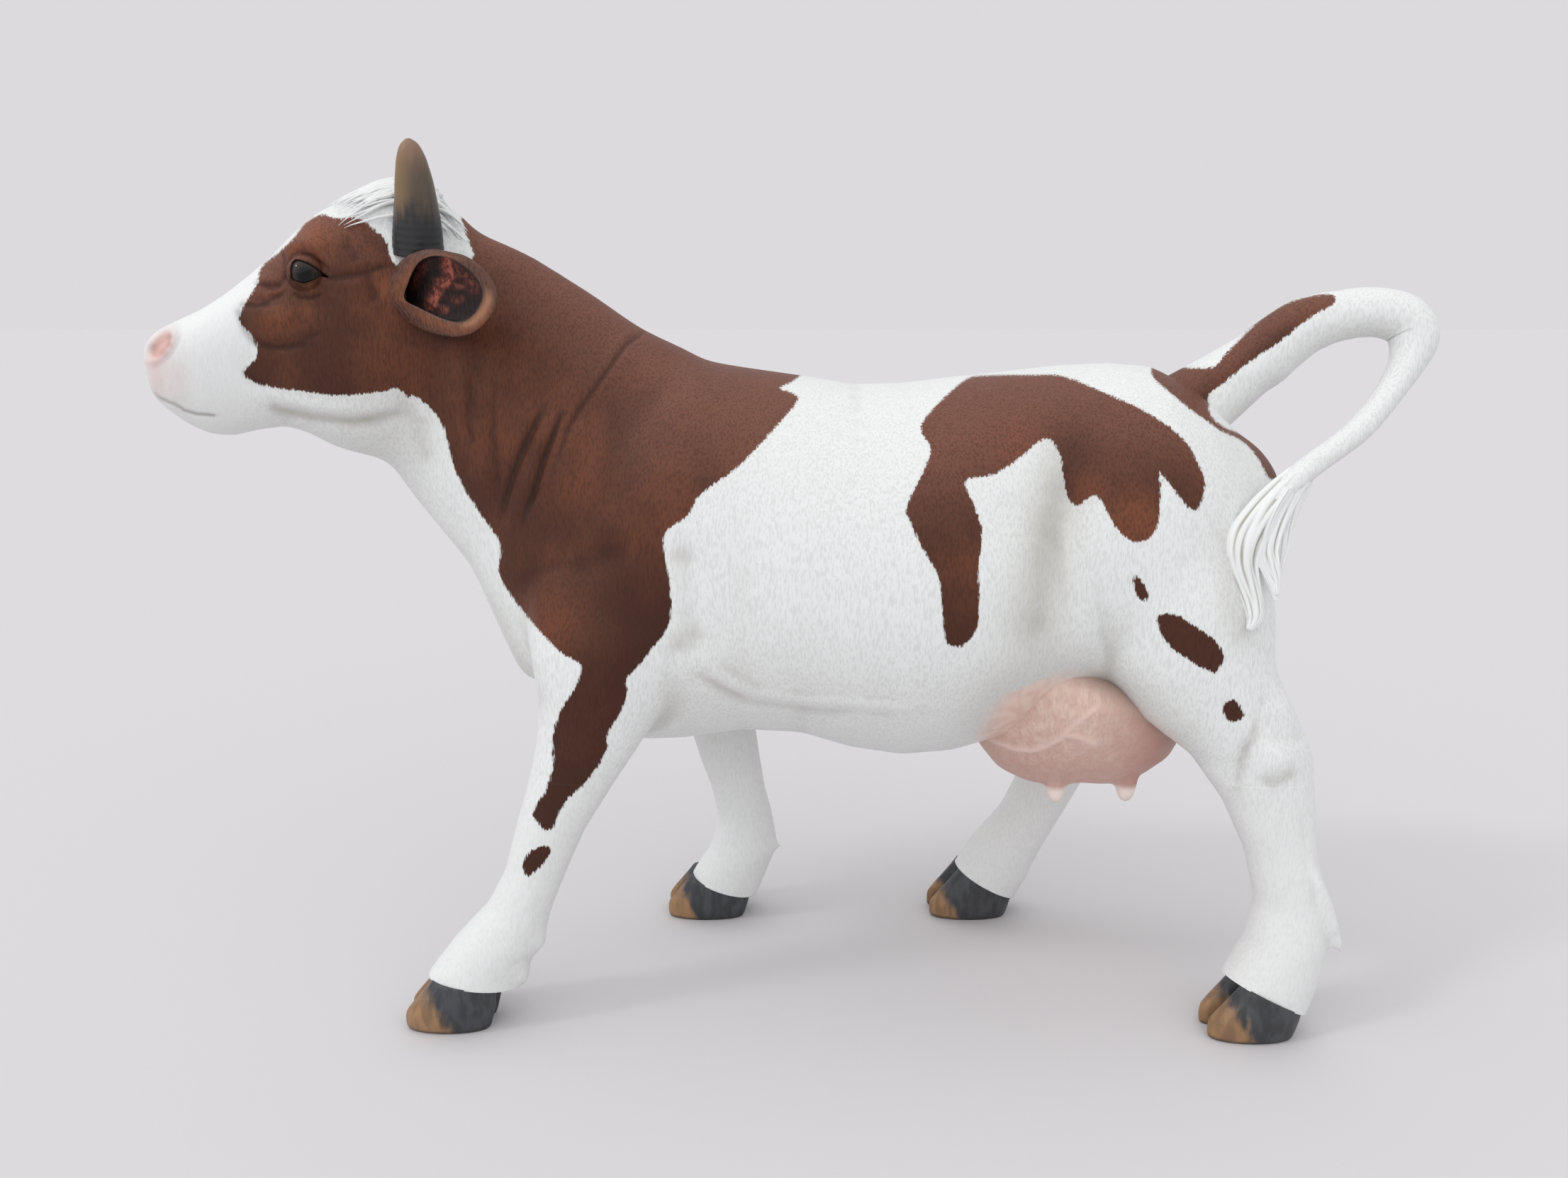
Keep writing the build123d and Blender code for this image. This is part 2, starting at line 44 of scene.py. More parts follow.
photo = {"width": 2212, "height": 1662, "focal": 1750.0}  # pixels
viewer = {"x": -4.0, "y": -297.0, "z": 163.0, "pitch": 12.0}  # mm and degrees, fitted to the hooves

head = {
    "origin": (-85.0, 0.0, 160.0),  # the poll, mm
    "turn": 14.0,  # degrees towards the viewer
    "widest": 0.56,  # share of the height
    "power": 2.3,  # roundness of a section, 2 is an ellipse
    "rows": [  # forward, top, bottom, half width, mm
        (62.6, 158.5, 148.5, 5.0), (61.7, 160.5, 146.6, 7.2), (59.4, 162.3, 144.3, 9.0),
        (55.8, 164.2, 141.5, 10.3), (51.0, 166.4, 139.6, 10.8), (46.0, 169.6, 138.8, 10.5),
        (41.0, 173.4, 139.6, 10.7), (35.0, 178.4, 140.2, 11.8), (30.0, 183.4, 138.5, 13.0),
        (24.5, 188.0, 135.0, 14.2), (18.0, 190.8, 132.6, 14.8), (11.0, 192.8, 131.5, 14.6),
        (4.0, 194.0, 132.0, 13.4), (-3.0, 192.0, 135.0, 11.8), (-8.0, 188.0, 142.0, 10.0),
    ],
}
neck = {
    "rows": [  # top x, top z, bottom x, bottom z, half width, mm
        (-84.0, 190.0, -99.0, 131.5, 10.0), (-76.0, 185.5, -95.0, 125.0, 11.5),
        (-62.0, 178.5, -88.5, 117.0, 14.0), (-47.0, 169.5, -80.0, 106.0, 18.0),
        (-37.0, 162.5, -74.0, 91.0, 22.5), (-25.0, 157.0, -67.0, 76.0, 25.0),
    ],
    "seam": ((-36.0, 161.0), (-75.0, 90.0)),  # the parting line, x and z
    "power": 2.1,
}
trunk = {
    "rows": [  # x, top, bottom, half width, mm
        (-67.0, 112.0, 86.0, 8.0), (-64.0, 121.0, 79.0, 14.5), (-58.0, 131.0, 72.0, 21.0),
        (-48.0, 142.0, 66.0, 27.0), (-38.0, 152.0, 63.0, 30.5), (-28.0, 156.0, 63.6, 33.0),
        (-14.0, 153.5, 66.0, 35.5), (0.0, 151.5, 65.5, 37.3), (12.0, 149.5, 62.0, 38.8),
        (24.0, 149.7, 60.2, 39.6), (36.0, 151.2, 61.2, 39.6), (48.0, 152.4, 64.8, 38.4),
        (60.0, 153.8, 71.0, 36.5), (72.0, 154.4, 76.0, 35.0), (82.0, 153.6, 80.0, 33.5),
        (92.0, 148.6, 83.0, 29.5), (101.0, 139.8, 88.0, 24.0), (108.0, 135.2, 94.0, 18.5),
        (112.0, 130.6, 102.0, 13.0), (114.2, 123.5, 108.0, 6.0),
    ],
    "widest": 0.46,
    "power": 2.15,
}
legs = {
    "frontLeft": {
        "side": -1, "node": "front_left_leg", "hoofNode": "front_left_hoof",
        "foot": -82.0, "out": 27.2, "coronet": (11.3, 7.5), "heel": 0.87, "tan": 0.0,
        "rows": [  # z, x, half length, half width, mm
            (112.0, -42.0, 15.0, 4.0), (92.0, -44.0, 18.0, 9.8), (79.0, -45.5, 15.0, 9.8),
            (70.0, -48.5, 12.4, 9.0), (59.0, -53.5, 10.0, 8.2), (48.0, -58.6, 8.2, 7.6),
            (38.0, -62.2, 7.3, 7.0), (30.0, -66.0, 7.8, 7.2), (21.0, -71.6, 10.6, 8.3),
            (13.0, -77.0, 11.4, 8.4), (4.0, -80.0, 11.2, 8.2),
        ],
    },
    "frontRight": {
        "side": 1, "node": "front_right_leg", "hoofNode": "front_right_hoof",
        "foot": -25.0, "out": 30.0, "coronet": (10.4, 18.0), "heel": 1.0, "tan": -0.3,
        "rows": [
            (112.0, -32.0, 15.0, 4.0), (92.0, -32.0, 18.0, 9.8), (79.0, -27.0, 12.7, 9.8),
            (70.0, -24.2, 10.5, 9.0), (59.0, -21.2, 9.1, 8.2), (48.0, -19.0, 8.3, 7.6),
            (38.0, -16.6, 7.4, 7.0), (30.0, -14.8, 7.6, 7.2), (21.0, -15.0, 9.2, 8.3),
            (13.0, -19.0, 10.2, 8.4), (4.0, -23.0, 10.8, 8.2),
        ],
    },
    "hindLeft": {
        "side": -1, "node": "hind_left_leg", "hoofNode": "hind_left_hoof",
        "foot": 106.5, "out": 31.5, "coronet": (10.6, 26.0), "heel": 0.87, "tan": -0.22,
        "rows": [
            (125.0, 80.0, 18.0, 4.0), (104.0, 83.0, 24.0, 11.5), (88.0, 87.0, 20.0, 11.3),
            (76.0, 95.0, 18.0, 9.8), (67.0, 103.0, 14.0, 8.6), (56.0, 107.6, 10.5, 7.8),
            (44.0, 111.0, 8.2, 7.2), (32.0, 114.0, 8.2, 7.2), (22.0, 113.0, 9.3, 8.3),
            (13.0, 110.0, 11.2, 8.4), (4.0, 107.0, 11.2, 8.2),
        ],
    },
    "hindRight": {
        "side": 1, "node": "hind_right_leg", "hoofNode": "hind_right_hoof",
        "foot": 48.5, "out": 30.0, "coronet": (12.4, 29.0), "heel": 1.0, "tan": -0.4,
        "rows": [
            (125.0, 80.0, 18.0, 4.0), (104.0, 82.0, 24.0, 11.5), (88.0, 83.0, 20.0, 11.3),
            (76.0, 82.5, 16.5, 9.8), (67.0, 80.0, 13.5, 8.6), (56.0, 75.5, 11.0, 7.8),
            (44.0, 70.5, 9.3, 7.2), (32.0, 65.0, 8.9, 7.2), (22.0, 58.5, 10.2, 8.3),
            (13.0, 54.0, 10.8, 8.4), (4.0, 50.0, 10.8, 8.2),
        ],
    },
}
stance = {"top": 22.5, "topZ": 118.0, "tilt": 8.0, "power": 2.1}  # leg distance from the middle, mm
seatHeight = 62.0  # where a lower leg meets the body, mm
seatBand = 3.0  # mm of faces cut at that height
legReach = 25.0  # mm from the middle of a leg
belly = {"front": -10.0, "back": 52.0, "bottom": 54.0}  # hangs below the seats, mm
bodyVoxel = 1.12  # mm
blending = {"pull": 0.6, "rounds": 60, "evenPull": 0.5, "evenRounds": 4}
heels = [  # dewclaws and heel bulbs, photograph pixels with radius, and their y in mm
    ([(714, 1360, 21), (734, 1368, 23), (746, 1368, 19)], (-24, -28)),
    ([(742, 1265, 12), (748, 1287, 15), (754, 1308, 18), (756, 1326, 17), (750, 1341, 10)], (-24, -28)),
    ([(1836, 1200, 9), (1849, 1232, 12), (1861, 1262, 15), (1871, 1290, 15), (1880, 1314, 12),
      (1888, 1335, 8), (1893, 1346, 4)], (-28, -34)),
    ([(1822, 1350, 20), (1829, 1378, 20), (1826, 1400, 18)], (-26, -34)),
    ([(1060, 1162, 10), (1077, 1180, 11), (1091, 1191, 8), (1103, 1196, 4)], (26, 34)),
    ([(1060, 1215, 17), (1060, 1238, 17)], (26, 34)),
    ([(1434, 1212, 20), (1434, 1238, 17)], (26, 34)),
]

# Edges of the painted patches as seen in the photograph, pixels
shoulderPatch = [
    (445, 306), (430, 315), (415, 335), (395, 355), (370, 375), (363, 400), (350, 422), (338, 445),
    (342, 460), (357, 475), (363, 502), (347, 520), (345, 528), (362, 541), (420, 551), (480, 558),
    (540, 552), (560, 548), (575, 560), (588, 560), (615, 585), (628, 610), (638, 650), (655, 690),
    (685, 735), (706, 770), (705, 812), (740, 865), (790, 920), (820, 939), (808, 975), (790, 1005),
    (780, 1040), (780, 1080), (770, 1115), (757, 1135), (753, 1152), (768, 1171), (780, 1168),
    (787, 1150), (803, 1125), (830, 1100), (856, 1060), (856, 1038), (875, 1005), (885, 975), (882, 960),
    (900, 940), (925, 908), (937, 895), (947, 862), (944, 820), (937, 755), (970, 728), (985, 700),
    (1040, 660), (1080, 618), (1124, 567), (1118, 555), (1100, 547), (1125, 533), (1150, 490),
    (1000, 420), (850, 340), (700, 285), (652, 300), (663, 345), (664, 365), (600, 380), (556, 372),
    (545, 340), (530, 326), (505, 308), (475, 308), (455, 303),
]
rumpPatch = [
    (1300, 610), (1302, 595), (1325, 568), (1360, 537), (1385, 530), (1460, 529), (1500, 531),
    (1560, 555), (1620, 583), (1670, 620), (1693, 660), (1700, 685), (1690, 718), (1675, 715),
    (1648, 680), (1636, 665), (1637, 690), (1632, 745), (1605, 766), (1575, 745), (1548, 700),
    (1520, 714), (1508, 705), (1500, 675), (1495, 640), (1475, 618), (1440, 645), (1400, 670),
    (1362, 678), (1375, 715), (1386, 755), (1380, 800), (1380, 880), (1360, 910), (1345, 911),
    (1333, 900), (1325, 820), (1305, 780), (1283, 735), (1280, 712), (1300, 670), (1313, 635),
]
rumpStripe = [
    (1624, 522), (1633, 516), (1676, 519), (1712, 518), (1708, 560), (1706, 582), (1722, 600),
    (1750, 612), (1775, 624), (1795, 638), (1806, 672), (1791, 675), (1777, 651), (1765, 634),
    (1748, 620), (1721, 607), (1697, 590), (1680, 578), (1633, 539),
]
tailPatch = [
    (1612, 522), (1633, 516), (1676, 519), (1712, 518), (1729, 500), (1750, 478), (1780, 449),
    (1815, 428), (1853, 417), (1880, 416), (1884, 423), (1877, 432), (1846, 449), (1806, 482),
    (1761, 512), (1728, 539), (1705, 557), (1702, 581), (1680, 578), (1625, 540),
]
haunchSpots = [
    [(1597, 815), (1605, 812), (1620, 838), (1618, 848), (1605, 842)],
    [(1632, 875), (1640, 867), (1660, 868), (1700, 893), (1715, 905), (1727, 925), (1720, 942),
     (1708, 948), (1650, 912)],
    [(1725, 995), (1740, 987), (1755, 1008), (1745, 1018), (1730, 1015)],
    [(738, 1220), (745, 1205), (760, 1195), (775, 1195), (775, 1205), (765, 1220), (750, 1233),
     (742, 1236)],
]


def direction(*parts):
    v = np.array(parts, float)
    return v / np.linalg.norm(v)


turn = math.radians(head["turn"])
pitch = math.radians(viewer["pitch"])
headForward = np.array([-math.cos(turn), -math.sin(turn), 0.0])
headLeft = np.array([math.sin(turn), -math.cos(turn), 0.0])
xAxis, yAxis, upward = np.eye(3)
headOrigin = np.array(head["origin"])
eyePoint = np.array([viewer["x"], viewer["y"], viewer["z"]])
lookAlong = np.array([0.0, math.cos(pitch), -math.sin(pitch)])
lookUp = np.array([0.0, math.sin(pitch), math.cos(pitch)])


def headPoint(forward, left, rise):
    return headOrigin + headForward * forward + headLeft * left + upward * rise


def toPixels(points):
    offset = points - eyePoint
    depth = offset @ lookAlong
    across = photo["width"] / 2 + photo["focal"] * offset[:, 0] / depth
    down = photo["height"] / 2 - photo["focal"] * (offset @ lookUp) / depth
    return np.stack([across, down], 1)


def onPlane(across, down, centre, normal):
    ray = lookAlong + (across - photo["width"] / 2) / photo["focal"] * xAxis
    ray = ray - (down - photo["height"] / 2) / photo["focal"] * lookUp
    return eyePoint + ray * ((centre - eyePoint) @ normal) / (ray @ normal)


def fromPixels(across, down, y):
    return onPlane(across, down, y * yAxis, yAxis)


def thickPoint(across, down, half, y):
    return (*fromPixels(across, down, y), half * (y - eyePoint[1]) / photo["focal"])


def nearSide(points):
    mirrored = points.copy()
    far = mirrored[:, 1] > 0
    mirrored[far, 1] *= -1
    inHead = points[:, 0] < headOrigin[0]
    lateral = (points - headOrigin) @ headLeft
    flip = inHead & (lateral < 0)
    mirrored[inHead] = points[inHead]
    mirrored[flip] = points[flip] - 2 * lateral[flip, None] * headLeft
    return mirrored


def curvePoint(a, b, c, d, t):
    bend = 2 * a - 5 * b + 4 * c - d
    return 0.5 * (2 * b + (c - a) * t + bend * t**2 + (3 * b - a - 3 * c + d) * t**3)


def roundOutline(points, steps=4):
    ring = np.array(points, float)
    corners = list(zip(np.roll(ring, 1, 0), ring, np.roll(ring, -1, 0), np.roll(ring, -2, 0)))
    return [tuple(curvePoint(*corner, t)) for corner in corners for t in np.arange(steps) / steps]


def lineWeight(pixels, line, width):
    best, along, done = np.full(len(pixels), 1e9), np.zeros(len(pixels)), 0.0
    spans = [math.dist(a, b) for a, b in zip(line, line[1:])]
    for a, b, length in zip(line, line[1:], spans):
        a, b = np.array(a, float), np.array(b, float)
        share = np.clip(((pixels - a) @ (b - a)) / length**2, 0, 1)
        gap = ((pixels - a - share[:, None] * (b - a)) ** 2).sum(1)
        along = np.where(gap < best, done + share * length, along)
        best = np.minimum(best, gap)
        done += length
    along /= done
    return np.exp(-best / width**2) * smoothStep(0, 0.25, along) * smoothStep(1, 0.75, along)


def lineDistance(pixels, line, closed=False):
    best = np.full(len(pixels), 1e9)
    pairs = list(zip(line, line[1:] + line[:1])) if closed else list(zip(line, line[1:]))
    for a, b in pairs:
        a, b = np.array(a, float), np.array(b, float)
        span = b - a
        share = np.clip(((pixels - a) @ span) / (span @ span), 0, 1)
        gap = pixels - a - share[:, None] * span
        best = np.minimum(best, np.sqrt((gap**2).sum(1)))
    return best


def insideDistance(pixels, outline):
    gap = lineDistance(pixels, outline, True)
    inside = np.zeros(len(pixels), bool)
    for a, b in zip(outline, outline[1:] + outline[:1]):
        crosses = (a[1] > pixels[:, 1]) != (b[1] > pixels[:, 1])
        rise = (b[1] - a[1]) or 1e-9
        inside ^= crosses & (pixels[:, 0] < (b[0] - a[0]) * (pixels[:, 1] - a[1]) / rise + a[0])
    return np.where(inside, gap, -gap)


def ovalPoints(centre, right, up, halfWidth, rise, drop, power=2.0, count=48):
    angles = np.arange(count) * 2 * math.pi / count
    c, s = np.cos(angles), np.sin(angles)
    across = np.sign(c) * np.abs(c) ** (2 / power) * halfWidth
    along = np.sign(s) * np.abs(s) ** (2 / power) * np.where(s > 0, rise, drop)
    return np.array(centre) + np.outer(across, right) + np.outer(along, up)


def wrapGrid(bm, rings, tags=None):
    rows, count = len(rings), len(rings[0])
    grid = bmesh.ops.create_grid(bm, x_segments=count, y_segments=rows - 1, size=1.0)["verts"]
    layers = {name: bm.verts.layers.float.get(name) for name in tags or {}}
    for i, vert in enumerate(grid):
        row, column = i // (count + 1), i % (count + 1) % count
        vert.co = Vector(rings[row][column]) * mm
        for name, layer in layers.items():
            vert[layer] = tags[name][row, column]
    bmesh.ops.remove_doubles(bm, verts=grid, dist=0.002 * mm)
    ends = {e for v in grid if v.is_valid for e in v.link_edges if e.is_boundary}
    bmesh.ops.holes_fill(bm, edges=list(ends), sides=0)


def openMesh(mesh):
    bm = bmesh.new()
    bm.from_mesh(mesh)
    return bm


def storeMesh(bm, mesh):
    bm.to_mesh(mesh)
    bm.free()


def fillHoles(bm):
    bmesh.ops.holes_fill(bm, edges=[e for e in bm.edges if e.is_boundary], sides=0)


def tubeRings(path, radii, count, across=yAxis):
    path = np.array(path, float)
    tangents = np.gradient(path, axis=0)
    tangents /= np.linalg.norm(tangents, axis=1)[:, None]
    side, rings = across, []
    for point, tangent, radius in zip(path, tangents, radii):
        side = side - tangent * (side @ tangent)
        side /= np.linalg.norm(side)
        rings.append(ovalPoints(point, side, np.cross(tangent, side), radius, radius, radius, 2.0, count))
    return rings


def smoothPath(points, count):
    points = np.array(points, float)
    padded = np.vstack([2 * points[0] - points[1], points, 2 * points[-1] - points[-2]])
    path = []
    for spot in np.linspace(0, len(points) - 1, count):
        i = min(int(spot), len(points) - 2)
        path.append(curvePoint(*padded[i : i + 4], spot - i))
    return np.array(path)


def finishMesh(bm, name):
    bmesh.ops.recalc_face_normals(bm, faces=bm.faces)
    mesh = bpy.data.meshes.new(name)
    storeMesh(bm, mesh)
    piece = bpy.data.objects.new(name, mesh)
    bpy.context.scene.collection.objects.link(piece)
    return piece


def bakeModifiers(piece):
    depsgraph = bpy.context.evaluated_depsgraph_get()
    mesh = bpy.data.meshes.new_from_object(piece.evaluated_get(depsgraph))
    piece.modifiers.clear()
    old = piece.data
    piece.data = mesh
    bpy.data.meshes.remove(old)


def remesh(piece, voxel):
    step = piece.modifiers.new("remesh", "REMESH")
    step.mode = "VOXEL"
    step.voxel_size = voxel * mm
    bakeModifiers(piece)


def readPoints(mesh):
    points = np.empty(len(mesh.vertices) * 3)
    mesh.vertices.foreach_get("co", points)
    return points.reshape(-1, 3) / mm


def writePoints(mesh, points):
    mesh.vertices.foreach_set("co", (points * mm).ravel())
    mesh.update()


def readNormals(mesh):
    normals = np.empty(len(mesh.vertices) * 3)
    mesh.vertex_normals.foreach_get("vector", normals)
    return normals.reshape(-1, 3)


def readEdges(mesh):
    edges = np.empty(len(mesh.edges) * 2, int)
    mesh.edges.foreach_get("vertices", edges)
    return edges.reshape(-1, 2)


def average(values, edges, count):
    total = np.zeros_like(values)
    for k in range(values.shape[1]):
        total[:, k] = np.bincount(edges[:, 0], values[edges[:, 1], k], len(values))
        total[:, k] += np.bincount(edges[:, 1], values[edges[:, 0], k], len(values))
    return total / np.maximum(count, 1)[:, None]


def relax(mesh, weight, rounds):
    points, edges = readPoints(mesh), readEdges(mesh)
    count = np.bincount(edges.ravel(), minlength=len(points))
    for _ in range(rounds):
        points += weight[:, None] * (average(points, edges, count) - points)
    writePoints(mesh, points)


def smoothStep(low, high, values):
    share = np.clip((values - low) / (high - low), 0, 1)
    return share * share * (3 - 2 * share)


def near(points, centre, radii):
    return np.exp(-((((points - np.array(centre)) / np.array(radii)) ** 2).sum(1)))


def spotWeight(pixels, x, y, radius):
    return np.exp(-((pixels - (x, y)) ** 2).sum(1) / radius**2)


def strokeWeight(pixels, line, width):
    return np.exp(-((lineDistance(pixels, line) / width) ** 2))


def setAttribute(mesh, name, values):
    layer = mesh.attributes.get(name) or mesh.attributes.new(name, "FLOAT", "POINT")
    layer.data.foreach_set("value", np.asarray(values, np.float32))


print("body forms")


def buildBody():
    forms = {"trunk": [], "neck": [], "head": []}
    for x, top, bottom, half in trunk["rows"]:
        middle = bottom + trunk["widest"] * (top - bottom)
        size = (half, top - middle, middle - bottom, trunk["power"])
        forms["trunk"].append(ovalPoints((x, 0, middle), yAxis, upward, *size))
    for topX, topZ, lowX, lowZ, half in neck["rows"]:
        centre = ((topX + lowX) / 2, 0, (topZ + lowZ) / 2)
        up, reach = direction(topX - lowX, 0, topZ - lowZ), math.hypot(topX - lowX, topZ - lowZ) / 2
        forms["neck"].append(ovalPoints(centre, yAxis, up, half, reach, reach, neck["power"]))
    for forward, top, bottom, half in head["rows"]:
        middle = bottom + head["widest"] * (top - bottom)
        size = (half, top - middle, middle - bottom, head["power"])
        centre = headPoint(forward, 0, middle - headOrigin[2])
        forms["head"].append(ovalPoints(centre, headLeft, upward, *size))
    for name, leg in legs.items():
        forms[name] = []
        for z, x, length, half in leg["rows"]:
            share = min(z / stance["topZ"], 1)
            y = leg["side"] * (leg["out"] + (stance["top"] - leg["out"]) * share)
            forms[name].append(ovalPoints((x, y, z), xAxis, yAxis, length, half, half, stance["power"]))
    bm = bmesh.new()
    for rings in forms.values():
        wrapGrid(bm, rings)
    for line, places in heels:
        for y in places:
            rows = smoothPath([thickPoint(*spot, y) for spot in line], 24)
            wrapGrid(bm, tubeRings(rows[:, :3], rows[:, 3], 20))
    return finishMesh(bm, "body")


body = buildBody()
remesh(body, bodyVoxel)
print("body vertices", len(body.data.vertices))

blends = [  # centre and radius of the places where forms flow into each other, mm
    (-50, -26, 96, 20), (-30, 26, 96, 20), (-50, 26, 96, 16), (-30, -26, 92, 14), (70, -26, 108, 24),
    (70, 26, 108, 24), (95, -24, 112, 18), (95, 24, 112, 18), (-55, -18, 128, 22), (-55, 18, 128, 22),
    (-40, 0, 156, 18), (-92, -8, 138, 12), (-92, 6, 138, 12), (-80, 0, 186, 10), (-68, 0, 92, 18),
    (104, 0, 110, 16), (-60, 0, 78, 12),
]


def blendForms():
    points = readPoints(body.data)
    weight = np.zeros(len(points))
    for x, y, z, radius in blends:
        weight += near(points, (x, y, z), (radius, radius, radius))
    relax(body.data, np.clip(weight, 0, 1) * blending["pull"], blending["rounds"])
    relax(body.data, np.full(len(points), blending["evenPull"]), blending["evenRounds"])
    way = body.data.attributes.new("way", "FLOAT_VECTOR", "POINT")
    way.data.foreach_set("vector", readNormals(body.data).astype(np.float32).ravel())


blendForms()


def splitBody():
    top, low = neck["seam"]
    up = direction(top[0] - low[0], 0, top[1] - low[1])
    normal = Vector((up[2], 0, -up[0]))
    bm = openMesh(body.data)
    everything = list(bm.verts) + list(bm.edges) + list(bm.faces)
    bmesh.ops.bisect_plane(bm, geom=everything, plane_co=Vector((top[0], 0, top[1])) * mm, plane_no=normal)
    seat, band = seatHeight * mm, seatBand * mm
    lower = [f for f in bm.faces if abs(f.calc_center_median().z - seat) < band and not inBelly(f)]
    cut = lower + list({e for f in lower for e in f.edges}) + list({v for f in lower for v in f.verts})
    bmesh.ops.bisect_plane(bm, geom=cut, plane_co=(0, 0, seat), plane_no=(0, 0, 1))
    groups = {name: [] for name in ["torso", "headNeck", *legs]}
    for face in bm.faces:
        groups[pieceOf(face, normal, top)].append(face.index)
    storeMesh(bm, body.data)
    return groups


def inBelly(face):
    centre = face.calc_center_median() / mm
    return belly["front"] < centre.x < belly["back"] and centre.z > belly["bottom"]


def pieceOf(face, normal, top):
    centre = face.calc_center_median() / mm
    if (centre - Vector((top[0], 0, top[1]))).dot(normal) < 0:
        return "headNeck"
    if centre.z < seatHeight and not inBelly(face):
        for name, leg in legs.items():
            if leg["side"] * centre.y > 0 and abs(centre.x - legCentre(leg, centre.z)) < legReach:
                return name
    return "torso"


def legCentre(leg, z):
    rows = sorted((row[0], row[1]) for row in leg["rows"])
    return float(np.interp(z, [r[0] for r in rows], [r[1] for r in rows]))


groups = splitBody()


def takePiece(name, faces):
    bm = openMesh(body.data)
    bm.faces.ensure_lookup_table()
    keep = set(faces)
    bmesh.ops.delete(bm, geom=[f for f in bm.faces if f.index not in keep], context="FACES")
    return finishMesh(bm, name)


pieces = {name: takePiece(name, faces) for name, faces in groups.items()}
bpy.data.objects.remove(body)


def refine(piece, levels):
    step = piece.modifiers.new("refine", "SUBSURF")
    step.levels = step.render_levels = levels
    step.boundary_smooth = "PRESERVE_CORNERS"
    bakeModifiers(piece)


for name in ["headNeck", *legs]:
    refine(pieces[name], 1)
for name, piece in pieces.items():
    print(name, len(piece.data.vertices))


print("sculpting")

bodyForms = [  # x, y, z, three radii, height, mm; the far flank mirrors them
    (-58, -26, 104, 13, 12, 14, 1.4), (-46, -32, 90, 13, 8, 11, 1.2), (-34, -28, 138, 12, 9, 17, 0.9),
    (-14, -34, 104, 8, 10, 26, -1.3), (46, -37, 126, 11, 8, 15, -1.7), (57, -28, 147, 8, 8, 6, 1.3),
    (102, -13, 139, 7, 7, 7, 0.3), (86, -33, 106, 20, 8, 22, 1.3), (58, -32, 90, 9, 8, 13, 0.9),
    (16, -39, 104, 24, 10, 26, 0.6), (-62, -12, 84, 9, 9, 10, 1.0),
]
headForms = [  # forward, left, rise, three radii, height, mm; both cheeks
    (28, 12.5, 21.5, 7, 4, 3.2, 1.4), (34, 11.5, 12, 5, 4, 4, -0.9), (14, 14, -6, 11, 5, 10, 1.0),
    (38, 11, -5, 8, 5, 6, -0.8), (58, 10, -3, 6, 5, 6, 0.7), (50, 4, -21, 7, 8, 4, 0.9),
    (13, 12, 23, 6, 5, 5, -0.8), (10, 0, 33, 9, 10, 6, 1.0),
]
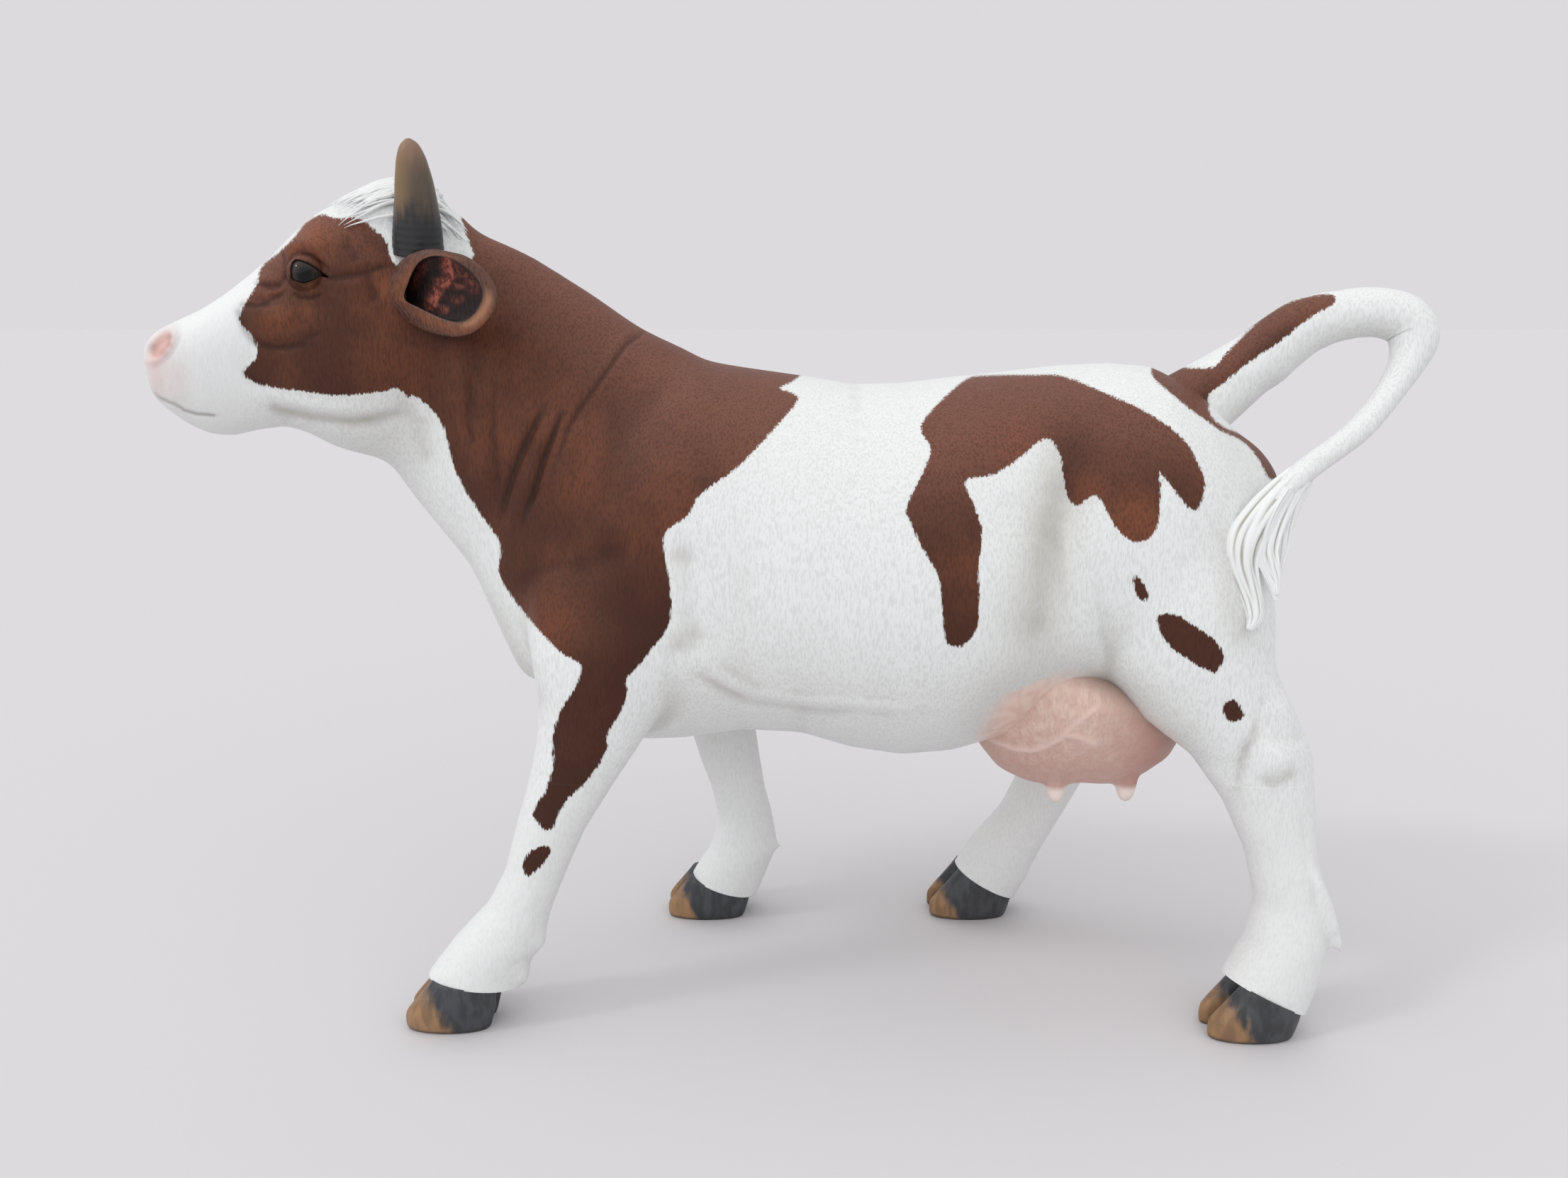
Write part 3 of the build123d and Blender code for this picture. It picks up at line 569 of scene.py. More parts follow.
creases = [  # photograph pixels, width in pixels, height in mm
    ([(925, 455), (882, 487), (853, 528), (820, 573), (800, 606), (792, 632), (780, 670)], 5, -0.6),
    ([(905, 478), (872, 508), (842, 548), (812, 592)], 15, 0.4),
    ([(768, 570), (739, 630), (722, 671), (712, 705), (708, 740)], 6, -0.9),
    ([(795, 575), (767, 647), (751, 700), (735, 740)], 5, -0.9),
    ([(775, 590), (752, 645), (734, 700), (722, 740)], 8, 0.45),
    ([(657, 520), (659, 549), (661, 598), (670, 640)], 8, -0.5),
    ([(700, 520), (694, 614), (702, 679), (710, 780)], 9, -0.5),
    ([(680, 520), (676, 600), (684, 660), (690, 700)], 10, 0.4),
    ([(690, 832), (770, 806), (829, 793), (910, 765)], 24, -0.7),
    ([(955, 740), (962, 800), (968, 850), (972, 905), (985, 945)], 34, -1.0),
    ([(940, 915), (1000, 945), (1030, 965), (1060, 980), (1150, 990), (1340, 1000)], 8, 0.5),
    ([(955, 935), (1030, 982), (1100, 1000), (1240, 1012)], 14, -0.3),
    ([(1512, 610), (1496, 700), (1476, 790), (1462, 870), (1436, 950)], 42, -0.9),
    ([(1514, 715), (1522, 800), (1532, 900), (1560, 960)], 15, 0.5),
    ([(1832, 1120), (1842, 1190), (1852, 1250), (1858, 1310)], 8, -0.35),
    ([(1845, 950), (1838, 1020), (1830, 1060)], 14, -0.5),
    ([(1770, 1040), (1757, 1060), (1750, 1085), (1746, 1112)], 7, -0.75),
    ([(1782, 1096), (1796, 1103), (1812, 1099), (1822, 1088)], 6, -0.7),
    ([(1784, 970), (1774, 1010), (1768, 1044)], 9, -0.25),
    ([(712, 1368), (735, 1356), (752, 1351)], 5, -0.2),
    ([(400, 376), (408, 367), (413, 360), (422, 357), (436, 360), (452, 371), (470, 388)], 3.2, -0.5),
    ([(390, 357), (412, 346), (436, 345), (465, 362)], 8, 0.6),
    ([(342, 428), (360, 431), (384, 428)], 4, -0.45),
    ([(364, 399), (380, 402), (397, 400)], 4, -0.4),
    ([(372, 414), (388, 410), (402, 404)], 5, 0.35),
    ([(365, 450), (396, 448), (428, 443)], 12, 0.4),
    ([(362, 485), (385, 492), (404, 492), (441, 485)], 5, -0.35),
    ([(515, 380), (524, 405), (533, 432)], 9, -0.5),
    ([(480, 340), (496, 352), (505, 372)], 9, -0.4),
    ([(410, 400), (427, 407), (438, 405), (454, 397)], 2.6, -0.4),
    ([(414, 408), (431, 412.5), (450, 408)], 3, 0.2),
    ([(410, 411), (425, 420), (439, 421), (458, 412)], 3, -0.4),
    ([(400, 350), (401, 368), (403, 386), (395, 402)], 3, -0.35),
    ([(446, 381), (473, 392), (499, 388), (534, 378), (570, 370)], 7, -0.5),
    ([(345, 478), (387, 489), (424, 482), (465, 462)], 7, -0.35),
    ([(358, 395), (378, 404), (400, 409)], 4, -0.3),
    ([(350, 418), (374, 424), (402, 414)], 5, -0.35),
    ([(335, 548), (400, 566), (476, 578), (535, 578), (585, 562)], 11, 0.5),
    ([(365, 578), (440, 594), (500, 600), (565, 590)], 14, -0.6),
    ([(200, 545), (212, 553), (226, 562), (237, 567), (249, 572), (260, 579), (277, 584), (302, 586),
      (322, 585)], 3, -0.4),
    ([(215, 572), (250, 590), (285, 600), (325, 600)], 8, 0.3),
    ([(550, 545), (590, 600), (605, 670)], 16, -0.5),
]
bumps = [  # photograph pixels, radius in pixels, height in mm
    (1800, 1074, 24, 1.7), (1808, 1003, 24, 0.6), (1830, 1016, 20, 0.4), (967, 622, 34, -0.5),
    (1690, 1190, 22, 0.3),
]
eyes = {
    "forward": 27.0, "left": 11.7, "rise": 14.0, "radius": 3.6, "lid": 0.4, "hollow": 0.7,  # mm
    "pupil": (431, 389), "pupilEdge": (17, 7),  # pixels
    "refined": 5.4,  # mm around the bead
}
mouth = {"places": ((58, -1), (58, -12), (50, -16)), "left": 8.5, "refined": 7.0}  # forward and rise, mm
eyeOpening = [
    (412, 392), (412, 380), (415, 371), (419, 368), (425, 368), (436, 372), (446, 378), (456, 386),
    (463, 391), (452, 390), (446, 394), (439, 397), (431, 400), (422, 398), (416, 396),
]
faceLines = [  # dark lines: lid lines, and painted shade along the folds of the face and neck, photograph pixels, width and strength
    ([(411, 395), (413, 378), (417, 368), (425, 369), (436, 372), (445, 378), (455, 386),
      (467, 392)], 2.6, 0.95),
    ([(412, 393), (422, 399), (431, 401), (440, 398), (449, 388)], 2.0, 0.6),
    ([(455, 386), (473, 392), (499, 388), (534, 378)], 5.0, 0.35),
    ([(405, 372), (409, 366), (413, 360), (422, 357), (436, 360), (452, 370)], 2.4, 0.45),
    ([(400, 358), (401, 372), (403, 386), (397, 398)], 2.2, 0.35),
    ([(418, 402), (427, 407), (438, 405), (449, 400)], 2.0, 0.4),
    ([(416, 414), (425, 420), (439, 421), (453, 415)], 2.2, 0.35),
    ([(372, 397), (388, 398), (398, 400)], 2.6, 0.3),
    ([(386, 420), (392, 416), (400, 412)], 3.0, 0.25),
    ([(210, 552), (226, 562), (237, 567), (249, 572), (260, 579), (277, 584), (302, 586)], 2.2, 0.36),
    ([(244, 569), (252, 574)], 4.0, 0.15),
    ([(768, 575), (739, 630), (722, 671), (712, 705)], 6.0, 0.4),
    ([(793, 582), (767, 647), (751, 700), (738, 735)], 4.5, 0.5),
    ([(925, 455), (882, 487), (853, 528), (820, 573), (800, 606)], 3.0, 0.22),
    ([(342, 430), (360, 431), (381, 429)], 4.5, 0.4),
    ([(363, 400), (380, 402), (397, 400)], 3.5, 0.4),
    ([(362, 485), (385, 491), (404, 491), (441, 485)], 4.0, 0.35),
    ([(337, 440), (346, 466), (360, 482)], 6.0, 0.4),
    ([(515, 380), (525, 408), (533, 432)], 9.0, 0.3),
    ([(346, 526), (372, 541)], 6.0, 0.3),
    ([(540, 352), (522, 338)], 8.0, 0.3),
    ([(664, 470), (668, 520), (672, 580)], 16.0, 0.35),
    ([(660, 478), (620, 476), (590, 460)], 7.0, 0.4),
    ([(965, 600), (975, 640), (955, 680)], 18.0, 0.25),
    ([(840, 760), (880, 800), (900, 860)], 26.0, 0.25),
]
shadeLines = [  # grey painted shade along creases and hollows in the white, photograph pixels, width and strength
    ([(1768, 1036), (1757, 1060), (1750, 1085), (1746, 1112)], 8, 0.7),
    ([(1782, 1098), (1796, 1105), (1812, 1101), (1822, 1088)], 7, 0.7),
    ([(1508, 640), (1476, 780), (1458, 880)], 42, 0.6),
    ([(1735, 760), (1738, 830), (1752, 890)], 26, 0.35),
    ([(385, 574), (440, 587), (500, 593), (560, 582)], 7, 0.5),
    ([(640, 790), (690, 870), (730, 940), (752, 990)], 20, 0.4),
]
nostril = {
    "x": 228, "y": 487, "width": 14.5, "height": 26.0, "lean": 35.0,  # pixels, degrees
    "depth": 1.2, "lip": 0.45,  # mm
}
noseEnd = 275  # pixels across
nostrilShade = [  # pixels, radius and strength
    (215, 490, 8, 0.26), (240, 475, 5, 0.2), (239, 486, 5, 0.2), (231, 498, 6, 0.16),
]
pinkSpot = (225, 520, 40)  # the blush under the nostril, pixels and radius
pinkLines = [([(218, 515), (222, 550)], 11, 0.2), ([(253, 530), (254, 562)], 14, 0.1)]
throatShade = (545, 610, 75)
tintAndHighlightSpots = [  # where the brown turns towards orange, partly real tint and on the forehead, brow and under the eye a painted highlight, photograph pixels, radius and strength
    (443, 332, 28, 0.9), (418, 351, 12, 0.8), (458, 352, 18, 0.6), (552, 408, 24, 0.8),
    (437, 404, 9, 0.7), (396, 448, 22, 0.55), (428, 443, 18, 0.5), (820, 685, 45, 0.4),
    (770, 880, 60, 0.5), (1525, 690, 34, 0.6), (1605, 735, 40, 0.6), (1440, 632, 44, 0.4),
    (600, 520, 50, 0.3),
]
udderOutline = [
    (1381, 1039), (1398, 1005), (1419, 976), (1448, 959), (1482, 953), (1516, 955), (1549, 969),
    (1583, 990), (1617, 1014), (1661, 1051), (1638, 1073), (1600, 1094), (1566, 1106), (1516, 1110),
    (1469, 1100), (1427, 1081), (1402, 1060),
]
udderVeins = [
    [(1388, 1036), (1405, 1045), (1430, 1055), (1455, 1058), (1475, 1052), (1495, 1042), (1510, 1028),
     (1545, 1000)],
    [(1503, 1036), (1520, 1039), (1545, 1049)],
]


def nearView(mesh):
    points, normals = readPoints(mesh), readNormals(mesh)
    way = mesh.attributes.get("way")
    if way:
        flat = np.empty(len(points) * 3, np.float32)
        way.data.foreach_get("vector", flat)
        normals = flat.reshape(-1, 3).astype(float)
        normals /= np.linalg.norm(normals, axis=1)[:, None]
    seen = nearSide(points)
    tips = nearSide(points + normals * 0.01)
    seenNormals = (tips - seen) / 0.01
    rays = seen - eyePoint
    rays /= np.linalg.norm(rays, axis=1)[:, None]
    facing = smoothStep(0.02, 0.35, -(seenNormals * rays).sum(1))
    return points, normals, seen, toPixels(seen), facing


def seatEyes(points, pixels):
    seen = nearSide(points)
    offset = seen - headPoint(eyes["forward"], eyes["left"], eyes["rise"])
    left, spread = offset @ headLeft, (offset @ headForward) ** 2 + offset[:, 2] ** 2
    lid = np.sqrt(np.clip((eyes["radius"] + eyes["lid"]) ** 2 - spread, 0, None))
    floor = np.sqrt(np.clip((eyes["radius"] - eyes["hollow"]) ** 2 - spread, 0, None))
    lid = np.where(lid > 0, np.maximum(lid, left), left)
    inside = smoothStep(-1.0, 1.6, insideDistance(pixels, eyeOpening))
    shift = (lid + (floor - lid) * inside - left) * (spread < 60) * (left > -4)
    flip = np.where((points - headOrigin) @ headLeft < 0, -1, 1)
    return points + np.outer(shift * flip, headLeft)


def nostrilShare(pixels):
    lean = math.radians(nostril["lean"])
    dx, dy = pixels[:, 0] - nostril["x"], pixels[:, 1] - nostril["y"]
    a = dx * math.cos(lean) + dy * math.sin(lean)
    b = dy * math.cos(lean) - dx * math.sin(lean)
    return np.sqrt((a / nostril["width"]) ** 2 + (b / nostril["height"]) ** 2)


def hump(share, middle, width):
    return np.exp(-(((share - middle) / width) ** 2))


def sculpt(piece, isHead):
    mesh = piece.data
    points, normals, seen, pixels, facing = nearView(mesh)
    height = np.zeros(len(points))
    for x, y, z, rx, ry, rz, amount in bodyForms:
        height += amount * near(seen, (x, y, z), (rx, ry, rz))
    for line, width, amount in creases:
        height += amount * facing * lineWeight(pixels, line, width)
    for x, y, radius, amount in bumps:
        height += amount * facing * spotWeight(pixels, x, y, radius)
    if isHead:
        offset = seen - headOrigin
        local = np.stack([offset @ headForward, offset @ headLeft, offset[:, 2]], 1)
        for f, left, rise, rx, ry, rz, amount in headForms:
            height += amount * near(local, (f, left, rise), (rx, ry, rz))
        hole = nostrilShare(pixels)
        relief = nostril["lip"] * hump(hole, 1.06, 0.24) - nostril["depth"] * smoothStep(0.92, 0.3, hole)
        height += facing * (pixels[:, 0] < noseEnd) * relief
    points += normals * height[:, None]
    writePoints(mesh, seatEyes(points, pixels) if isHead else points)


def hollowness(mesh, rounds):
    points, normals, edges = readPoints(mesh), readNormals(mesh), readEdges(mesh)
    count = np.bincount(edges.ravel(), minlength=len(points))
    soft = points
    for _ in range(rounds):
        soft = average(soft, edges, count)
    return ((soft - points) * normals).sum(1)


def refineAround(piece, centres, radius):
    bm = openMesh(piece.data)
    spots = [Vector(c) * mm for c in centres]
    edges = [e for e in bm.edges if any((e.verts[0].co - s).length < radius * mm for s in spots)]
    bmesh.ops.subdivide_edges(bm, edges=edges, cuts=1, use_grid_fill=True, smooth=0.6)
    storeMesh(bm, piece.data)


faceSpots = [headPoint(eyes["forward"], side * eyes["left"], eyes["rise"]) for side in (1, -1)]
mouthSpots = [headPoint(f, side * mouth["left"], rise) for side in (1, -1) for f, rise in mouth["places"]]
refineAround(pieces["headNeck"], faceSpots + mouthSpots, mouth["refined"])
refineAround(pieces["headNeck"], faceSpots, eyes["refined"])
for name, piece in pieces.items():
    sculpt(piece, name == "headNeck")


farPatch = {"front": 84.0, "back": 74.0}  # lowest patch on the hidden side, mm
shadeShares = {"hollow": 0.55, "paintedUnderShade": 0.3, "udder": 0.4, "inner": 0.55, "low": 0.2, "throat": 0.16}  # shares of painted shade: in hollows, on faces turned down, round the udder, on the far foreleg, low down, at the throat
patchEdges = [roundOutline(outline) for outline in [shoulderPatch, rumpPatch, rumpStripe, *haunchSpots]]
tailEdges = [roundOutline(tailPatch)]
udderEdge = roundOutline(udderOutline)


def paint(piece):
    mesh = piece.data
    points, normals, seen, pixels, facing = nearView(mesh)
    x, rise, far = points[:, 0], points[:, 2], points[:, 1] > 0
    isHead = piece.name == "headNeck"
    patch = np.full(len(points), -60.0)
    if piece.name not in ("frontRight", "hindRight"):
        for outline in tailEdges if piece.name == "tailHide" else patchEdges:
            patch = np.maximum(patch, insideDistance(pixels, outline))
    patch -= 60 * smoothStep(0.1, 0.6, (seen[:, 1] > -26) * (seen[:, 2] < 92) * (1 - facing))
    lowest = np.where(x < 0, farPatch["front"] + np.minimum(0.03 * (x + 50) ** 2, 12), farPatch["back"])
    patch = np.where(far, np.minimum(patch, (rise - lowest) * 6), patch)
    # Painted shade, grey in the white and dark in the brown: in hollows, on faces turned down, round the
    # udder, low down and along creases
    hollow = hollowness(mesh, 4) / 0.12 + hollowness(mesh, 20) / 0.9
    udderGap = insideDistance(pixels, udderEdge)
    inner = far * smoothStep(38, 56, rise) * smoothStep(84, 66, rise) * hump(x, -24, 22)  # painted shade on the far foreleg
    paintedShade = shadeShares["hollow"] * np.clip(hollow, 0, 1) + shadeShares["paintedUnderShade"] * smoothStep(0.2, -0.9, normals[:, 2])
    paintedShade += shadeShares["udder"] * np.exp(-((udderGap / 40) ** 2)) * smoothStep(58, 74, seen[:, 2])
    paintedShade += shadeShares["inner"] * inner + shadeShares["low"] * smoothStep(72, 50, rise)
    paintedShade += shadeShares["throat"] * spotWeight(pixels, *throatShade)
    for line, width, amount in shadeLines:
        paintedShade += amount * facing * strokeWeight(pixels, line, width)
    # orange in the brown, partly a painted highlight on the face
    warmAndHighlight = np.max([amount * spotWeight(pixels, *spot) for *spot, amount in tintAndHighlightSpots], 0)
    hole = nostrilShare(pixels)
    pink = 0.5 * smoothStep(1.0, 0.55, hole) + 0.3 * smoothStep(1.5, 0.9, hole)
    pink += 0.26 * spotWeight(pixels, *pinkSpot)
    pink += sum(amount * strokeWeight(pixels, line, width) for line, width, amount in pinkLines)
    # dark paint on the lids and round the eye, with painted shade in the face and neck creases and round the
    # nostril
    darkLinesAndShade = [amount * strokeWeight(pixels, line, width) for line, width, amount in faceLines]
    darkLinesAndShade += [amount * spotWeight(pixels, *spot) for *spot, amount in nostrilShade]
    darkLinesAndShade = np.max([*darkLinesAndShade, smoothStep(-1.0, 1.5, insideDistance(pixels, eyeOpening))], 0)
    # painted light and shade: lighter on faces turned up, darker below 122 mm
    topLightAndLowShade = 0.5 + 0.5 * smoothStep(0.0, 0.85, normals[:, 2]) - 0.5 * smoothStep(122, 90, seen[:, 2])
    mist = smoothStep(-14, 22, udderGap) * (np.abs(points[:, 1]) < 34) * (1 - far * smoothStep(50, 58, x))
    bareMuzzle = 0.7 * isHead * smoothStep(400, 330, pixels[:, 0])
    layers = {
        "patch": np.clip(patch / 10, -6, 6),
        "paintedShade": np.clip(paintedShade, 0, 1) * (0.8 - 0.45 * smoothStep(88, 62, rise)),
        "warmAndHighlight": warmAndHighlight,
        "topLightAndLowShade": topLightAndLowShade,
        "udderPink": mist,
        "pink": np.clip(pink * isHead * (pixels[:, 0] < noseEnd) * facing, 0, 1),
        "darkLinesAndShade": np.clip(darkLinesAndShade * facing, 0, 1) * isHead,
        "fur": (1 - bareMuzzle) * (1 - 0.5 * smoothStep(72, 45, rise)),
    }
    for name, values in layers.items():
        setAttribute(mesh, name, values)


def cutAtCoronet(bm, leg, lift, keepAbove):
    rise, lean = leg["coronet"][0], math.radians(leg["coronet"][1])
    tilt = math.radians(stance["tilt"]) * (leg["side"] < 0)
    cut = {
        "geom": list(bm.verts) + list(bm.edges) + list(bm.faces),
        "plane_co": Vector((leg["foot"], leg["side"] * leg["out"], rise + lift)) * mm,
        "plane_no": (math.sin(lean), math.sin(tilt), math.cos(lean)),
    }
    bmesh.ops.bisect_plane(bm, clear_inner=keepAbove, clear_outer=not keepAbove, **cut)
    fillHoles(bm)


def trimLegs():
    for name, leg in legs.items():
        bm = openMesh(pieces[name].data)
        cutAtCoronet(bm, leg, 0, True)
        storeMesh(bm, pieces[name].data)


for piece in pieces.values():
    paint(piece)
trimLegs()


print("horns, ears, eyes, hooves, udder and tail")

horn = {
    "forward": 3.2, "spread": 21.0, "rise": 18.5, "length": 24.4, "radius": 5.7, "bend": 0.48,  # mm
    "lean": 12.0, "tilt": 1.2,  # degrees
    "girth": [  # share of the length, share of the radius
        (0.0, 1.0), (0.2, 0.94), (0.41, 0.84), (0.65, 0.71), (0.83, 0.56), (0.93, 0.4), (0.98, 0.23),
        (1.0, 0.03),
    ],
    "rings": 1.5, "ringDepth": 0.008,  # spacing of the growth rings in mm, share of the radius
}
ear = {
    "opening": [  # inner edge of the cup, photograph pixels
        (571, 422), (576, 400), (586, 377), (598, 366), (616, 362), (636, 367), (656, 379), (671, 395),
        (678, 412), (675, 428), (663, 445), (647, 453), (629, 450), (609, 442), (590, 433),
    ],
    "rim": [  # outer edge, the same places
        (555, 419), (562, 397), (579, 372), (592, 359), (614, 353), (636, 356), (660, 363), (685, 383),
        (700, 410), (698, 436), (676, 463), (655, 472), (632, 470), (606, 460), (580, 440),
    ],
    "middle": (626, 415), "out": -24.0, "facing": (-0.45, -0.88, 0.0),  # pixels, mm
    "root": (8.0, 9.5, 9.0), "lump": 1.3,  # forward, left, rise and height of the flesh, mm
    "lining": (7.2, 5.6), "fleshEnd": (6.6, 5.4),  # where they fade, in rows of the profile; the lining is painted shade deep in the cup
    "brim": (8.3, 1.6), "lip": (7.0, 0.7),  # middle and reach, in rows of the profile; the lip carries a painted highlight
    "profile": [  # way from the cup's edge to its root, share of the opening, share of the rim
        (0.6, 0.03, 0.0), (0.6, 0.3, 0.0), (0.55, 0.56, 0.0), (0.43, 0.76, 0.0), (0.27, 0.9, 0.0),
        (0.1, 0.98, 0.0), (0.01, 1.0, 0.0), (-0.04, 0.75, 0.25), (-0.06, 0.4, 0.6), (-0.03, 0.1, 0.9),
        (0.03, 0.0, 1.02), (0.14, 0.0, 1.04), (0.32, 0.0, 0.98), (0.5, 0.0, 0.85), (0.7, 0.0, 0.68),
        (0.9, 0.0, 0.52), (1.0, 0.0, 0.42), (1.1, 0.0, 0.25), (1.12, 0.0, 0.03),
    ],
    "flesh": [  # lumps inside the cup, photograph pixels, width and strength
        ([(628, 366), (631, 380), (634, 390), (630, 400)], 6, 1.0), ([(620, 400), (615, 410), (611, 420),
          (607, 430)], 7, 1.0),
        ([(640, 404), (652, 404)], 4, 0.4), ([(637, 420), (642, 426)], 4, 0.45), ([(650, 420),
          (652, 425)], 3, 0.35),
        ([(612, 432), (628, 438)], 5, 0.5), ([(640, 374), (656, 388), (668, 404)], 10, 0.3), ([(600, 372),
          (582, 400)], 7, 0.22),
    ],
}
hoof = {
    "length": 23.0, "width": 16.8, "gap": 0.7, "lap": 0.3,  # mm
    "inside": 0.34, "power": 2.05,  # share of a claw towards the cleft, roundness
    "rows": [  # z in mm, reach ahead, reach behind, swell of a claw
        (0.0, 0.93, 0.80, 0.64), (0.4, 0.97, 0.83, 0.72), (1.4, 1.0, 0.87, 0.82),
        (4.0, 0.99, 0.94, 0.93), (6.0, 0.88, 0.98, 0.98), (9.0, 0.66, 1.0, 1.0),
        (12.5, 0.42, 0.99, 0.96), (18.0, 0.08, 0.97, 0.88),
    ],
}
udder = {
    "rows": [  # z, middle x, half length, half width, mm
        (52.0, 67.0, 3.0, 3.0), (52.5, 67.0, 9.0, 8.0), (53.8, 67.2, 15.0, 13.0),
        (56.4, 67.6, 19.6, 17.0), (61.0, 68.2, 23.6, 21.5), (66.5, 68.2, 25.6, 25.5),
        (72.0, 67.4, 25.4, 29.0), (78.0, 65.0, 22.6, 31.6), (83.0, 61.0, 18.5, 31.8),
        (86.5, 57.5, 13.5, 31.6), (88.6, 56.0, 6.0, 30.5),
    ],
    "teats": [  # photograph pixels, y in mm
        (1490, 1106, -13.0), (1588, 1104, -13.0), (1490, 1106, 13.0), (1588, 1104, 13.0),
    ],
    "teatLength": 8.5, "teatRadius": 2.5, "teatRise": 3.5, "veinHeight": 0.5, "voxel": 0.6,  # mm
}
tail = {
    "root": [  # x, y, z, radius, mm
        (86.0, 0.0, 139.2, 10.2), (92.0, 0.0, 143.5, 9.4), (97.7, -0.1, 147.7, 8.5),
    ],
    "path": [  # photograph pixels, radius in pixels, y in mm
        (1757, 520, 43.5, -0.5), (1781, 504, 43, -0.8), (1804, 485, 41.5, -1.2), (1835, 463, 39.5, -1.8),
        (1864, 451.5, 37, -2.3), (1888, 446, 34.5, -2.8), (1914, 441.5, 34, -3.3), (1944, 441, 33.5, -4),
        (1968, 446, 34, -4.7), (1984, 455, 34, -5.4), (1993, 470, 33.5, -6.2), (1993, 487, 31, -7.2),
        (1986, 509, 25, -8.6), (1975, 530, 21.5, -10), (1958, 556, 19, -12), (1935, 586, 18.5, -14.5),
        (1911, 611, 18, -17), (1886, 631, 17, -19.5), (1858, 651, 17, -22), (1832, 672, 17, -24.5),
        (1808, 698, 13, -27), (1792, 730, 6, -29),
    ],
}
locks = [  # photograph pixels and half width in pixels, then y at root and tip, mm
    ([(1832, 672, 17), (1803, 700, 20), (1776, 732, 24), (1757, 765, 26), (1753, 795, 21),
      (1760, 825, 17), (1767, 850, 14),
      (1769, 872, 11), (1762, 889, 4)], -24, -36),
    ([(1836, 672, 12), (1815, 705, 14), (1797, 740, 16), (1788, 775, 15), (1792, 800, 13), (1799, 820, 8),
      (1801, 840, 3)], -24, -35),
    ([(1842, 672, 9), (1826, 705, 10), (1815, 740, 10), (1810, 770, 9), (1806, 798, 6),
      (1803, 816, 2)], -23, -32),
    ([(1846, 666, 9), (1834, 697, 9), (1823, 724, 8), (1815, 752, 7), (1811, 780, 5),
      (1806, 802, 2)], -23, -30),
    ([(1815, 690, 8), (1795, 722, 9), (1782, 755, 9), (1778, 785, 8), (1786, 808, 6), (1796, 830, 5),
      (1800, 848, 2)], -28, -35),
]
hairRidges = ((5, 0.07, 0.5), (8, 0.07, -0.45), (13, 0.045, 0.7))  # waves round a lock, depth, twist


def hornPiece(side, name):
    lean, tilt = math.radians(horn["lean"]), math.radians(horn["tilt"])
    outward = upward * math.cos(lean) + headLeft * side * math.sin(lean)
    axis = direction(*(outward + headForward * math.sin(tilt)))
    root = headPoint(horn["forward"], side * horn["spread"] / 2, horn["rise"])
    shares = 1 - (1 - np.linspace(0, 1, 90)) ** 1.25  # closer towards the tip
    girth = np.interp(shares, *np.array(horn["girth"]).T)
    girth = np.convolve(np.pad(girth, 3, "edge"), np.ones(7) / 7, "valid")
    girth[-1] = 0.02
    waves = np.sin(shares * horn["length"] / horn["rings"] * 2 * math.pi)
    girth += horn["ringDepth"] * waves * smoothStep(0.55, 0.1, shares)
    bend = -headForward * horn["bend"] * np.sin(shares * math.pi)[:, None]
    path = root + np.outer(shares * horn["length"], axis) + bend
    bm = bmesh.new()
    wrapGrid(bm, tubeRings(path, horn["radius"] * girth, 40, headLeft))
    piece = finishMesh(bm, name)
    setAttribute(piece.data, "along", (readPoints(piece.data) - root) @ axis / horn["length"])
    # how far a face turns forward; it carries painted light on the horn's front
    setAttribute(piece.data, "front", readNormals(piece.data) @ headForward)
    return piece


def earPiece(side, name):
    normal, middle = direction(*ear["facing"]), fromPixels(*ear["middle"], ear["out"])
    root, edges = headPoint(*ear["root"]), []
    for key in ("opening", "rim"):
        outline = [onPlane(x, y, middle, normal) for x, y in roundOutline(ear[key], 5)]
        edges.append(np.array(outline) - middle)
    cup, brim = edges
    rows = smoothPath(ear["profile"], 72)
    rings = [middle + (root - middle) * way + cup * inner + brim * outer for way, inner, outer in rows]
    spots = np.linspace(0, len(ear["profile"]) - 1, len(rows))[:, None]
    pixels = toPixels(np.concatenate(rings))
    across, down = pixels.T.reshape(2, len(rows), -1)
    flesh = np.max([amount * strokeWeight(pixels, line, width) for line, width, amount in ear["flesh"]], 0)
    flesh = flesh.reshape(across.shape) * smoothStep(*ear["fleshEnd"], spots)
    rings = np.array(rings) + flesh[:, :, None] * ear["lump"] * direction(*(middle - root))
    # the rim turns orange on the left and below, partly as painted highlight
    warmAndHighlight = np.maximum(smoothStep(600, 570, across) * smoothStep(436, 420, down), smoothStep(425, 450, down))
    # painted highlight along the inner lip, lower right and along the top
    paintedLight = smoothStep(640, 668, across) * smoothStep(400, 425, down)
    paintedLight = np.maximum(paintedLight, 0.5 * smoothStep(372, 362, down))
    if side < 0:
        rings = rings - 2 * ((rings - headOrigin) @ headLeft)[:, :, None] * headLeft
    even = np.ones(across.shape)
    tags = {
        "inside": smoothStep(*ear["lining"], spots) * even,
        "rim": hump(spots, *ear["brim"]) * even,
        "flesh": flesh,
        "warmAndHighlight": np.clip(warmAndHighlight + 0.15, 0, 1),
        "lip": hump(spots, *ear["lip"]) * paintedLight,
    }
    bm = bmesh.new()
    for tag in tags:
        bm.verts.layers.float.new(tag)
    wrapGrid(bm, rings, tags)
    return finishMesh(bm, name)


